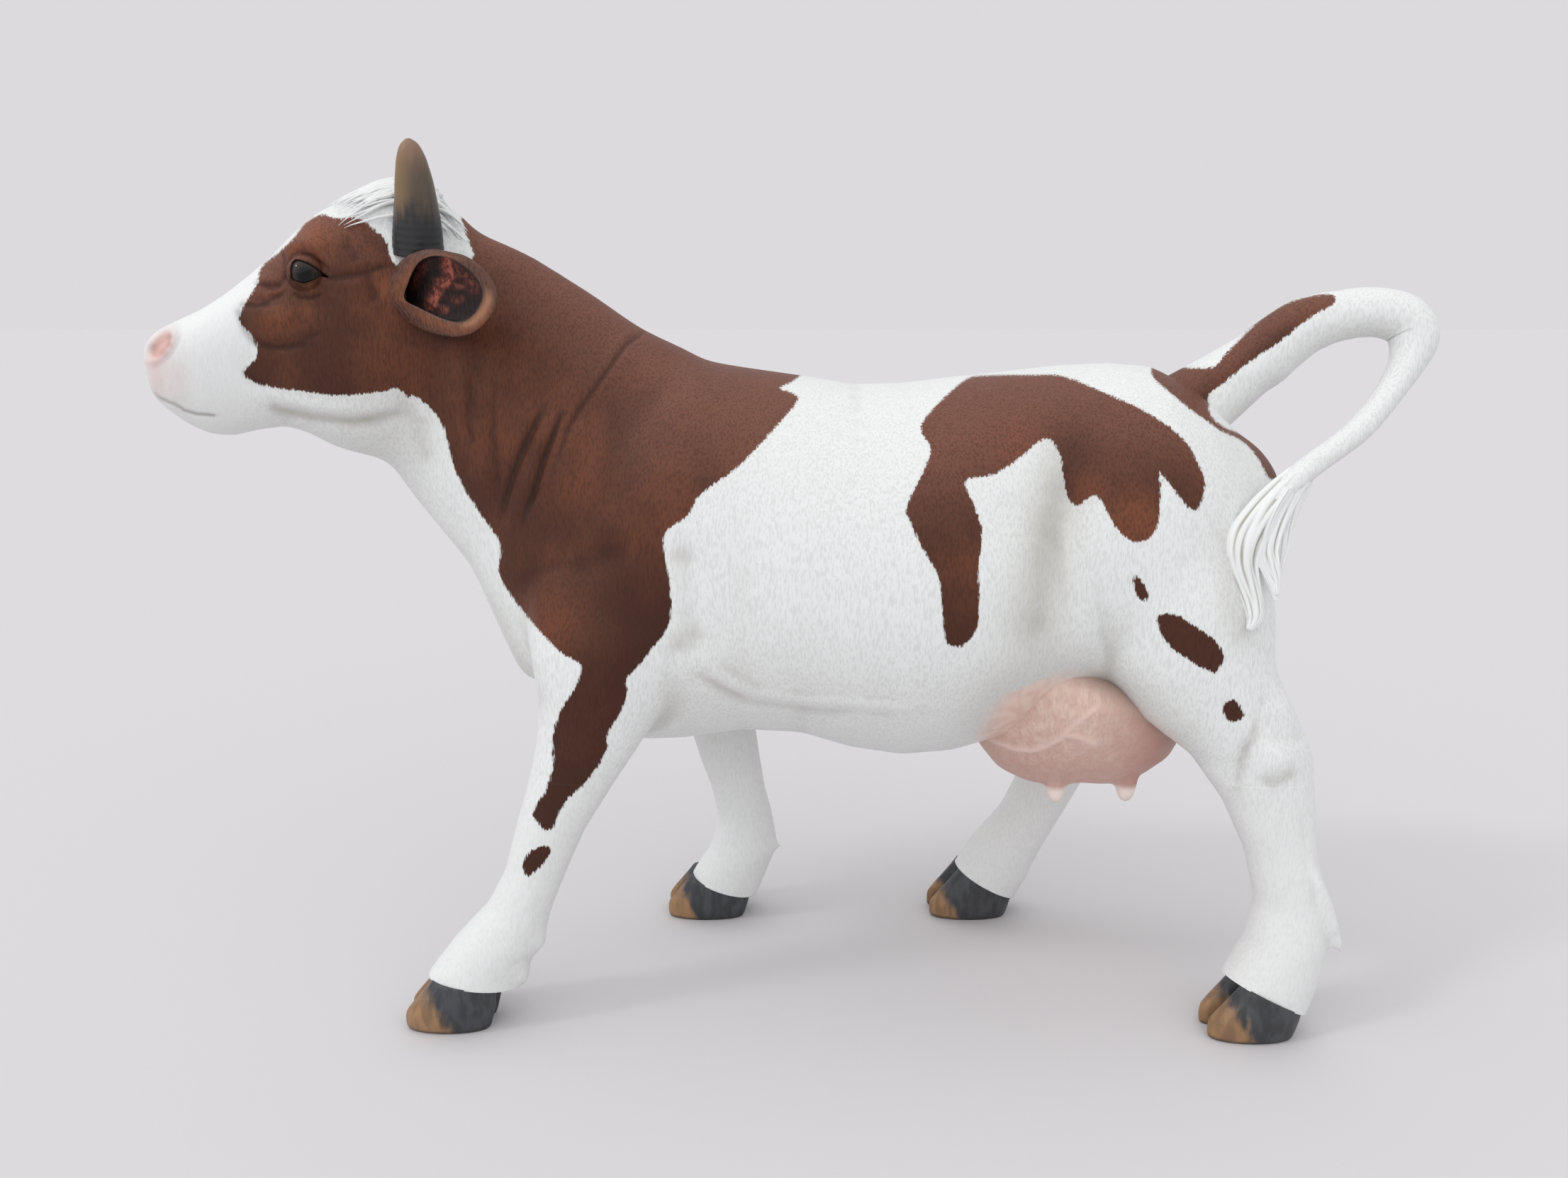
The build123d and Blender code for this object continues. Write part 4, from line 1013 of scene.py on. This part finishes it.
def eyePiece(side, name):
    bm = bmesh.new()
    bmesh.ops.create_uvsphere(bm, u_segments=40, v_segments=24, radius=eyes["radius"] * mm)
    centre = headPoint(eyes["forward"], side * eyes["left"], eyes["rise"])
    bmesh.ops.translate(bm, verts=bm.verts, vec=Vector(centre) * mm)
    piece = finishMesh(bm, name)
    gap = toPixels(nearSide(readPoints(piece.data))) - eyes["pupil"]
    setAttribute(piece.data, "pupil", smoothStep(*eyes["pupilEdge"], np.hypot(gap[:, 0], gap[:, 1] * 0.9)))
    return piece


def hoofPiece(leg, name):
    half, side = hoof["length"] / 2, hoof["width"] / 2 - hoof["gap"]
    inner, outer = hoof["inside"] * side, (1 - hoof["inside"]) * side
    bm = bmesh.new()
    for claw in (-1, 1):
        y, rings = leg["side"] * leg["out"] + claw * (hoof["gap"] / 2 + inner), []
        for z, front, back, swell in hoof["rows"]:
            ahead, behind = leg["foot"] - half * front, leg["foot"] + half * back * leg["heel"]
            above, below = (outer * swell, inner * swell)[::claw]
            size = ((behind - ahead) / 2, above, below, hoof["power"], 40)
            rings.append(ovalPoints(((ahead + behind) / 2, y, z), xAxis, yAxis, *size))
        wrapGrid(bm, np.swapaxes([smoothPath(np.array(rings)[:, k], 26) for k in range(40)], 0, 1))
    cutAtCoronet(bm, leg, hoof["lap"], False)
    piece = finishMesh(bm, name)
    points = readPoints(piece.data)
    toe = (leg["foot"] - points[:, 0]) / half - 0.045 * (points[:, 2] - 5) + leg["tan"]
    setAttribute(piece.data, "toe", toe)
    setAttribute(piece.data, "low", points[:, 2] / leg["coronet"][0])
    return piece


def udderPiece():
    bm = bmesh.new()
    wrapGrid(bm, [ovalPoints((x, 0, z), xAxis, yAxis, a, b, b, 2.3, 64) for z, x, a, b in udder["rows"]])
    shares = np.linspace(0, 1, 14)
    girth = 1.25 - 0.62 * shares + 0.1 * np.sin(shares * 3)
    girth[-3:] *= [0.95, 0.75, 0.25]  # rounds the end
    feet = [fromPixels(across, down, -abs(y)) * (1, 0, 1) + y * yAxis for across, down, y in udder["teats"]]
    for foot in feet:
        path = foot + np.outer(udder["teatRise"] - shares * udder["teatLength"], upward)
        wrapGrid(bm, tubeRings(path, udder["teatRadius"] * girth, 20, xAxis))
    piece = finishMesh(bm, "udderSkin")
    remesh(piece, udder["voxel"])
    mesh = piece.data
    relax(mesh, np.full(len(mesh.vertices), 0.5), 8)
    points, normals, seen, pixels, facing = nearView(mesh)
    x, y, z = points.T
    vein = np.max([strokeWeight(pixels, line, 4.0) * facing for line in udderVeins], 0)
    quarter = -0.7 * hump(x, 68, 5) * smoothStep(64, 54, z) - 0.6 * hump(y, 0, 4) * smoothStep(62, 54, z)
    writePoints(mesh, points + normals * (udder["veinHeight"] * vein + quarter)[:, None])
    teats = []
    for foot in feet:
        away = np.hypot(x - foot[0], y - foot[1])
        teats.append(smoothStep(4.2, 2.8, away) * smoothStep(foot[2] + 0.5, foot[2] - 1.5, z))
    # the pink stops at the top; above it goes painted shade
    shown = insideDistance(pixels, udderOutline) + 40 * smoothStep(66, 58, z)
    layers = {
        "vein": vein,
        # painted shade: darker at the back by the thigh and towards the bottom
        "paintedUnderShade": np.maximum(smoothStep(62, 86, x), 0.55 * smoothStep(76, 58, z)),
        "teat": np.max(teats, 0),
        "udderPink": smoothStep(-14, 22, shown),
    }
    for name, values in layers.items():
        setAttribute(mesh, name, values)
    return piece


def tailPiece():
    rows = smoothPath(tail["root"] + [thickPoint(*spot) for spot in tail["path"]], 180)
    bm = bmesh.new()
    wrapGrid(bm, tubeRings(rows[:, :3], rows[:, 3], 32))
    return finishMesh(bm, "tailHide")


def switchPiece():
    bm = bmesh.new()
    count, around = 70, 72
    angles = np.arange(around) * 2 * math.pi / around
    for number, (line, yRoot, yTip) in enumerate(locks):
        ys = np.linspace(0, 1, len(line)) ** 0.8 * (yTip - yRoot) + yRoot
        rows = smoothPath([thickPoint(*spot, y) for spot, y in zip(line, ys)], count)
        rings = tubeRings(rows[:, :3], np.maximum(rows[:, 3], 0.08), around)
        shaped = []
        for k, ring in enumerate(rings):
            ridge = np.ones(around)
            for waves, depth, twist in hairRidges:
                ridge += depth * np.cos(waves * (angles + twist * k / count) + 2.3 * number * waves)
            shaped.append(rows[k, :3] + (ring - rows[k, :3]) * ridge[:, None])
        wrapGrid(bm, shaped)
    return finishMesh(bm, "tailSwitch")


tuft = {"count": 120, "nape": 45, "thick": 0.5, "mound": 1.8}  # strands, mm


def pollHeight(forward, left):
    rows = sorted(head["rows"])
    spots = [r[0] for r in rows]
    top, low, half = (np.interp(forward, spots, [r[k] for r in rows]) for k in (1, 2, 3))
    middle = low + head["widest"] * (top - low)
    bulge = (1 - np.clip(np.abs(left / half), 0, 0.98) ** head["power"]) ** (1 / head["power"])
    return middle + (top - middle) * bulge - headOrigin[2]


def tuftPiece():
    bm = bmesh.new()
    chance = random.Random(3)
    shares = np.linspace(0, 1, 12)
    for _ in range(tuft["count"]):
        left = chance.uniform(-9.5, 9.5)
        start, end = chance.uniform(-3, 8), chance.uniform(14, 24 - abs(left) * 0.5)
        fan = left * chance.uniform(1.0, 1.35)
        wave, phase = chance.uniform(0.2, 0.7), chance.uniform(0, 6)
        forward = start + (end - start) * shares
        lateral = left + (fan - left) * shares + wave * np.sin(shares * 4 + phase)
        lift = 0.3 + tuft["mound"] * near(np.stack([forward, lateral, 0 * forward], 1), (9, 0, 0), (9, 11, 1))
        strand = np.array([headPoint(f, s, pollHeight(f, s) + h) for f, s, h in zip(forward, lateral, lift)])
        wrapGrid(bm, tubeRings(strand, tuft["thick"] * (1.05 - shares**2), 6))
    for _ in range(tuft["nape"]):
        left = chance.uniform(-3, 10)
        start = headPoint(chance.uniform(-1, 3), left, pollHeight(0, left) + chance.uniform(0, 1.5))
        end = fromPixels(chance.uniform(632, 662), chance.uniform(318, 362), -2 - left * 0.75)
        bow = upward * chance.uniform(0.3, 1.2)
        strand = np.outer(1 - shares, start) + np.outer(shares, end) + np.outer(np.sin(shares * math.pi), bow)
        wrapGrid(bm, tubeRings(strand, tuft["thick"] * (1.05 - shares**2), 6))
    return finishMesh(bm, "pollHair")


horns = {side: hornPiece(sign, f"horn{side}") for side, sign in (("Left", 1), ("Right", -1))}
ears = {side: earPiece(sign, f"ear{side}") for side, sign in (("Left", 1), ("Right", -1))}
eyeBeads = {side: eyePiece(sign, f"eye{side}") for side, sign in (("Left", 1), ("Right", -1))}
hooves = {name: hoofPiece(leg, f"{name}Hoof") for name, leg in legs.items()}
udderSkin = udderPiece()
tailHide = tailPiece()
tailSwitch = switchPiece()
pollHair = tuftPiece()
paint(tailHide)
# the tail switch and poll hair get painted shade in their hollows
for piece in (tailSwitch, pollHair):
    setAttribute(piece.data, "patch", np.full(len(piece.data.vertices), -6.0))
    setAttribute(piece.data, "paintedShade", np.clip(hollowness(piece.data, 3) / 0.1, 0, 1))


def linear(hexColour):
    parts = [int(hexColour[i : i + 2], 16) / 255 for i in (1, 3, 5)]
    return tuple(p / 12.92 if p <= 0.04045 else ((p + 0.055) / 1.055) ** 2.4 for p in parts) + (1.0,)


def addNode(tree, kind, inputs=None, out=0, **settings):
    node = tree.nodes.new("ShaderNode" + kind)
    for key, value in settings.items():
        setattr(node, key, value)
    for key, value in (inputs or {}).items():
        if isinstance(value, bpy.types.NodeSocket):
            tree.links.new(value, node.inputs[key])
        else:
            node.inputs[key].default_value = value
    return node.outputs[out] if node.outputs else node


def newMaterial(name, grains=None, layers=()):
    material = bpy.data.materials.new(name)
    material.use_nodes = True
    tree = material.node_tree
    tree.nodes.clear()
    part = {layer: addNode(tree, "Attribute", out="Fac", attribute_name=layer) for layer in layers}
    for grain, (*sizes, detail) in (grains or {}).items():
        spot = addNode(tree, "TexCoord", out="Object")
        spot = addNode(tree, "Mapping", {"Vector": spot, "Scale": [1 / (size * mm) for size in sizes]})
        part[grain] = addNode(tree, "TexNoise", {"Vector": spot, "Scale": 1.0, "Detail": detail})
    return material, tree, part


def span(low, high, most=1.0, least=0.0):
    return {"From Min": low, "From Max": high, "To Min": least, "To Max": most}


smooth = {"interpolation_type": "SMOOTHSTEP"}
colours = {"data_type": "RGBA", "out": 2}


# Cast resin with sculpted hair, sprayed white and brushed brown under satin lacquer: soft broad light
def hideMaterial():
    grains = {  # sizes in mm, detail
        "strokes": (0.42, 0.42, 1.9, 2), "tufts": (2.2, 2.2, 5.5, 2), "blotches": (17, 17, 22, 3),
    }
    layers = ("patch", "paintedShade", "warmAndHighlight", "topLightAndLowShade", "fur", "udderPink", "pink", "darkLinesAndShade")
    material, tree, part = newMaterial("paintedHideResin", grains, layers)
    ragged = addNode(tree, "Math", {0: part["strokes"], 1: 1.1, 2: part["patch"]}, operation="MULTIPLY_ADD")
    patch = addNode(tree, "MapRange", {"Value": ragged, **span(0.39, 0.71)}, **smooth)
    groove = addNode(tree, "MapRange", {"Value": part["strokes"], **span(0.56, 0.36, 0.42)}, **smooth)
    groove = addNode(tree, "Math", {0: groove, 1: part["fur"]}, operation="MULTIPLY")
    redder = addNode(tree, "MapRange", {"Value": part["blotches"], **span(0.38, 0.66)}, **smooth)
    # painted light on faces turned up and painted shade low down, in the brown
    paintedLight = addNode(tree, "MapRange", {"Value": part["topLightAndLowShade"], **span(0.5, 1.0, 0.8)}, **smooth)
    paintedLowShade = addNode(tree, "MapRange", {"Value": part["topLightAndLowShade"], **span(0.5, 0.0, 0.8)}, **smooth)
    mottle = addNode(tree, "MapRange", {"Value": part["tufts"], **span(0.4, 0.62)}, **smooth)
    white, brown = linear("#f0f2f2"), linear("#4f2d20")
    # painted shade greys the white here and darkens the brown below
    for share, tint in ((groove, "#cfd1ce"), (part["paintedShade"], "#aeaaa0")):
        white = addNode(tree, "Mix", {0: share, 6: white, 7: linear(tint)}, **colours)
    browns = (
        (redder, "#693d2a"), (paintedLight, "#7f5345"), (paintedLowShade, "#3f2216"),
        (part["warmAndHighlight"], "#895137"), (groove, "#3a1f16"), (part["paintedShade"], "#2c1610"),
    )
    for share, tint in browns:
        brown = addNode(tree, "Mix", {0: share, 6: brown, 7: linear(tint)}, **colours)
    colour = addNode(tree, "Mix", {0: patch, 6: white, 7: brown}, **colours)
    flesh = addNode(tree, "Mix", {0: mottle, 6: linear("#e0bfb1"), 7: linear("#e8cdbf")}, **colours)
    for share, tint in (("udderPink", flesh), ("pink", linear("#dcb3ab")), ("darkLinesAndShade", linear("#2a1713"))):
        colour = addNode(tree, "Mix", {0: part[share], 6: colour, 7: tint}, **colours)
    relief = {0: part["strokes"], 1: part["fur"], 2: part["tufts"]}
    height = addNode(tree, "Math", relief, operation="MULTIPLY_ADD")
    bump = addNode(tree, "Bump", {"Height": height, "Strength": 0.55, "Distance": 0.3 * mm})
    look = {"Base Color": colour, "Roughness": 0.52, "Specular IOR Level": 0.22, "Normal": bump}
    addNode(tree, "OutputMaterial", {"Surface": addNode(tree, "BsdfPrincipled", look)})
    return material


# Cast resin brushed from slate at the root to tan at the tip: satin, a narrow streak of light
def hornMaterial():
    grains = {"streaks": (1.6, 1.6, 8.0, 2), "rings": (14, 14, 0.8, 1)}
    material, tree, part = newMaterial("paintedHornResin", grains, ("along", "front"))
    along = addNode(tree, "Math", {0: part["streaks"], 1: 0.35, 2: part["along"]}, operation="MULTIPLY_ADD")
    upper = addNode(tree, "MapRange", {"Value": along, **span(0.42, 0.78)}, **smooth)
    tip = addNode(tree, "MapRange", {"Value": along, **span(0.8, 1.15)}, **smooth)
    # painted light: lighter tan on the forward-facing upper horn
    paintedFrontLight = addNode(tree, "MapRange", {"Value": part["front"], **span(-0.1, 0.8, 0.6)}, **smooth)
    above = addNode(tree, "MapRange", {"Value": along, **span(0.5, 0.75)}, **smooth)
    paintedFrontLight = addNode(tree, "Math", {0: paintedFrontLight, 1: above}, operation="MULTIPLY")
    lines = addNode(tree, "MapRange", {"Value": part["rings"], **span(0.55, 0.68, 0.3)}, **smooth)
    below = addNode(tree, "MapRange", {"Value": along, **span(0.75, 0.5)}, **smooth)
    lines = addNode(tree, "Math", {0: lines, 1: below}, operation="MULTIPLY")
    colour = linear("#292a2c")
    for share, tint in ((upper, "#5d5144"), (tip, "#8a6c5b"), (paintedFrontLight, "#947850"), (lines, "#2b2a2b")):
        colour = addNode(tree, "Mix", {0: share, 6: colour, 7: linear(tint)}, **colours)
    bump = addNode(tree, "Bump", {"Height": part["streaks"], "Strength": 0.25, "Distance": 0.2 * mm})
    look = {"Base Color": colour, "Roughness": 0.42, "Specular IOR Level": 0.4, "Normal": bump}
    addNode(tree, "OutputMaterial", {"Surface": addNode(tree, "BsdfPrincipled", look)})
    return material


# Cast resin in slate with tan brushed over the toes: satin, soft streaks down the wall
def hoofMaterial():
    material, tree, part = newMaterial("paintedHoofResin", {"streaks": (2.2, 2.2, 6.0, 2)}, ("toe", "low"))
    toe = addNode(tree, "Math", {0: part["streaks"], 1: 0.5, 2: part["toe"]}, operation="MULTIPLY_ADD")
    toe = addNode(tree, "MapRange", {"Value": toe, **span(0.28, 0.56)}, **smooth)
    mottle = addNode(tree, "MapRange", {"Value": part["streaks"], **span(0.35, 0.65)}, **smooth)
    upper = addNode(tree, "MapRange", {"Value": part["low"], **span(0.5, 1.1, 0.6)}, **smooth)
    # painted contact shadow: darker along the bottom edge
    paintedContactShadow = addNode(tree, "MapRange", {"Value": part["low"], **span(0.14, 0.0, 0.8)}, **smooth)
    slate = addNode(tree, "Mix", {0: mottle, 6: linear("#3b3c3f"), 7: linear("#4b4d51")}, **colours)
    tan = addNode(tree, "Mix", {0: mottle, 6: linear("#876a4e"), 7: linear("#a17d5b")}, **colours)
    tan = addNode(tree, "Mix", {0: upper, 6: tan, 7: linear("#6e655d")}, **colours)
    colour = addNode(tree, "Mix", {0: toe, 6: slate, 7: tan}, **colours)
    colour = addNode(tree, "Mix", {0: paintedContactShadow, 6: colour, 7: linear("#383634")}, **colours)
    bump = addNode(tree, "Bump", {"Height": part["streaks"], "Strength": 0.3, "Distance": 0.2 * mm})
    look = {"Base Color": colour, "Roughness": 0.45, "Specular IOR Level": 0.35, "Normal": bump}
    addNode(tree, "OutputMaterial", {"Surface": addNode(tree, "BsdfPrincipled", look)})
    return material


# Cast resin, pink misted over white with raised veins: satin, softer and smoother than the hide
def udderMaterial():
    grains = {"wrinkles": (0.6, 0.6, 2.2, 2), "tufts": (2.2, 2.2, 5.5, 2)}
    material, tree, part = newMaterial("paintedUdderResin", grains, ("vein", "teat", "udderPink", "paintedUnderShade"))
    mottle = addNode(tree, "MapRange", {"Value": part["tufts"], **span(0.4, 0.62)}, **smooth)
    groove = addNode(tree, "MapRange", {"Value": part["wrinkles"], **span(0.55, 0.36, 0.3)}, **smooth)
    pink = addNode(tree, "Mix", {0: mottle, 6: linear("#e0bfb1"), 7: linear("#e8cdbf")}, **colours)
    # painted shade darkens the udder at the back and below
    pinks = (
        (groove, "#bd988d"), (part["paintedUnderShade"], "#bb8d82"), (part["vein"], "#eaccc0"), (part["teat"], "#f8e8e0"),
    )
    for share, tint in pinks:
        pink = addNode(tree, "Mix", {0: share, 6: pink, 7: linear(tint)}, **colours)
    # above the pink, a beige-grey painted shade where the udder meets the belly
    colour = addNode(tree, "Mix", {0: part["udderPink"], 6: linear("#b39a8e"), 7: pink}, **colours)
    bump = addNode(tree, "Bump", {"Height": part["wrinkles"], "Strength": 0.2, "Distance": 0.25 * mm})
    look = {"Base Color": colour, "Roughness": 0.5, "Specular IOR Level": 0.3, "Normal": bump}
    addNode(tree, "OutputMaterial", {"Surface": addNode(tree, "BsdfPrincipled", look)})
    return material


# Cast resin, brown with a dry-brushed rim, orange and painted highlight on its left and lower side, and a
# dark red wash inside: satin rim around a hollow darkened to black with painted shade
def earMaterial():
    grains = {"strokes": (0.5, 0.5, 1.6, 2), "clots": (1.1, 1.1, 1.1, 2)}
    material, tree, part = newMaterial("paintedEarResin", grains, ("inside", "rim", "flesh", "warmAndHighlight", "lip"))
    groove = addNode(tree, "MapRange", {"Value": part["strokes"], **span(0.36, 0.6)}, **smooth)
    streak = addNode(tree, "MapRange", {"Value": part["strokes"], **span(0.36, 0.6, 1.0, 0.6)}, **smooth)
    clot = addNode(tree, "MapRange", {"Value": part["clots"], **span(0.4, 0.62)}, **smooth)
    inside = addNode(tree, "Math", {0: part["strokes"], 1: 0.5, 2: part["inside"]}, operation="MULTIPLY_ADD")
    inside = addNode(tree, "MapRange", {"Value": inside, **span(0.5, 0.95)}, **smooth)
    outer = addNode(tree, "Mix", {0: groove, 6: linear("#4a2d25"), 7: linear("#684a40")}, **colours)
    edge = addNode(tree, "Mix", {0: part["warmAndHighlight"], 6: linear("#5c4037"), 7: linear("#7d4e35")}, **colours)
    edge = addNode(tree, "Mix", {0: streak, 6: linear("#3e2219"), 7: edge}, **colours)
    # painted highlight along the inner lip
    edge = addNode(tree, "Mix", {0: part["lip"], 6: edge, 7: linear("#c08a68")}, **colours)
    # painted shade, near black, deep in the cup
    paintedCupShade = addNode(tree, "Mix", {0: groove, 6: linear("#0c0505"), 7: linear("#1f0d0b")}, **colours)
    lump = addNode(tree, "Mix", {0: clot, 6: linear("#5c271f"), 7: linear("#a85c4b")}, **colours)
    colour = outer
    for share, tint in ((part["rim"], edge), (inside, paintedCupShade), (part["flesh"], lump)):
        colour = addNode(tree, "Mix", {0: share, 6: colour, 7: tint}, **colours)
    bump = addNode(tree, "Bump", {"Height": part["strokes"], "Strength": 0.5, "Distance": 0.3 * mm})
    look = {"Base Color": colour, "Roughness": 0.5, "Specular IOR Level": 0.3, "Normal": bump}
    addNode(tree, "OutputMaterial", {"Surface": addNode(tree, "BsdfPrincipled", look)})
    return material


# Moulded acrylic bead, polished: grey-brown with a black pupil and a clear spark of the window
def eyeMaterial():
    material, tree, part = newMaterial("polishedEyeBead", layers=("pupil",))
    colour = addNode(tree, "Mix", {0: part["pupil"], 6: linear("#352d29"), 7: linear("#050404")}, **colours)
    look = {"Base Color": colour, "Roughness": 0.09, "Specular IOR Level": 0.24}
    addNode(tree, "OutputMaterial", {"Surface": addNode(tree, "BsdfPrincipled", look)})
    return material


# Uncoated backdrop paper: dead matt, no highlight
def paperMaterial(colour):
    material, tree, _ = newMaterial("palePaper")
    look = {"Base Color": linear(colour), "Roughness": 1.0, "Specular IOR Level": 0.0}
    addNode(tree, "OutputMaterial", {"Surface": addNode(tree, "BsdfPrincipled", look)})
    return material


materials = {
    "hide_resin": hideMaterial(),
    "horn_resin": hornMaterial(),
    "hoof_resin": hoofMaterial(),
    "udder_resin": udderMaterial(),
    "eye_bead": eyeMaterial(),
}
earPaint = earMaterial()


def closeHoles(piece):
    bm = openMesh(piece.data)
    fillHoles(bm)
    bmesh.ops.recalc_face_normals(bm, faces=bm.faces)
    storeMesh(bm, piece.data)


seamReach = 0.6  # mm


def matchSeams():
    normals, edgesOf = {}, {}
    tree = KDTree(sum(len(p.data.vertices) for p in pieces.values()))
    marks = []
    for name, piece in pieces.items():
        normals[name], points = readNormals(piece.data), readPoints(piece.data)
        loopEdges = np.empty(len(piece.data.loops), int)
        piece.data.loops.foreach_get("edge_index", loopEdges)
        faceCount = np.bincount(loopEdges, minlength=len(piece.data.edges))
        edgesOf[name] = np.unique(readEdges(piece.data)[faceCount == 1])
        for k in edgesOf[name]:
            tree.insert(points[k], len(marks))
            marks.append(normals[name][k])
    tree.balance()
    for name, piece in pieces.items():
        points, fixed = readPoints(piece.data), normals[name].copy()
        for k in edgesOf[name]:
            total = sum((marks[i] for _, i, _ in tree.find_range(points[k], seamReach)), np.zeros(3))
            fixed[k] = total / np.linalg.norm(total)
        normals[name] = fixed
    return normals


seamNormals = matchSeams()


def place(piece, nodes, slot, material=None):
    piece.data.polygons.foreach_set("use_smooth", [True] * len(piece.data.polygons))
    piece.data.materials.append(material or materials[slot])
    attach(piece, "root")
    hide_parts(*nodes)


nodeOf = {"torso": "torso", "headNeck": "head_neck", **{name: leg["node"] for name, leg in legs.items()}}
for name, piece in pieces.items():
    closeHoles(piece)
    place(piece, [nodeOf[name]], "hide_resin")
    piece.data.attributes.remove(piece.data.attributes["way"])
    piece.data.normals_split_custom_set_from_vertices(seamNormals[name])
for side in ("Left", "Right"):
    place(horns[side], [f"horn_{side.lower()}"], "horn_resin")
    place(ears[side], [f"ear_{side.lower()}"], "hide_resin", earPaint)
    place(eyeBeads[side], [f"eye_{side.lower()}"], "eye_bead")
for name, leg in legs.items():
    place(hooves[name], [leg["hoofNode"]], "hoof_resin")
place(udderSkin, ["udder"], "udder_resin")
place(tailHide, ["tail"], "hide_resin")
place(tailSwitch, ["tail"], "hide_resin")
place(pollHair, ["head_neck"], "hide_resin")

studio = {
    "floor": "#dcdadd", "reach": 60000.0,  # mm
    "sky": 0.6,
    "lamps": {  # strength, direction it comes from, spread in degrees
        "softBox": (1.2, (-0.2, -0.45, 1.0), 120.0),
        "window": (0.36, (-0.66, -0.31, 0.675), 9.0),
    },
}


def buildStage():
    bm = bmesh.new()
    bmesh.ops.create_grid(bm, x_segments=1, y_segments=1, size=studio["reach"] * mm)
    floor = finishMesh(bm, "floor")
    floor.data.materials.append(paperMaterial(studio["floor"]))


def buildLight():
    for name, (strength, source, spread) in studio["lamps"].items():
        lamp = bpy.data.lights.new(name, "SUN")
        lamp.energy = strength
        lamp.angle = math.radians(spread)
        holder = bpy.data.objects.new(name, lamp)
        holder.rotation_euler = Vector(source).to_track_quat("Z", "Y").to_euler()
        bpy.context.scene.collection.objects.link(holder)
    world = bpy.data.worlds.new("studioAir")
    bpy.context.scene.world = world
    world.use_nodes = True
    tree = world.node_tree
    tree.nodes.clear()
    seen = addNode(tree, "LightPath", out="Is Camera Ray")
    for kind in ("Is Glossy Ray", "Is Transmission Ray"):
        seen = addNode(tree, "Math", {0: seen, 1: addNode(tree, "LightPath", out=kind)}, operation="MAXIMUM")
    light = addNode(tree, "Background", {"Color": linear("#ffffff"), "Strength": studio["sky"]})
    drop = addNode(tree, "Background", {"Color": linear(studio["floor"]), "Strength": 1.0})
    both = addNode(tree, "MixShader", {0: seen, 1: light, 2: drop})
    addNode(tree, "OutputWorld", {"Surface": both})


buildStage()
buildLight()

cameraData = bpy.data.cameras.new("viewer")
cameraData.sensor_width = 36.0
cameraData.lens = photo["focal"] / photo["width"] * cameraData.sensor_width
cameraData.clip_start = 0.01
camera = bpy.data.objects.new("viewer", cameraData)
camera.location = Vector(eyePoint) * mm
camera.rotation_euler = (math.pi / 2 - pitch, 0, 0)
bpy.context.scene.collection.objects.link(camera)
bpy.context.scene.camera = camera
bpy.context.scene.view_settings.view_transform = "Standard"
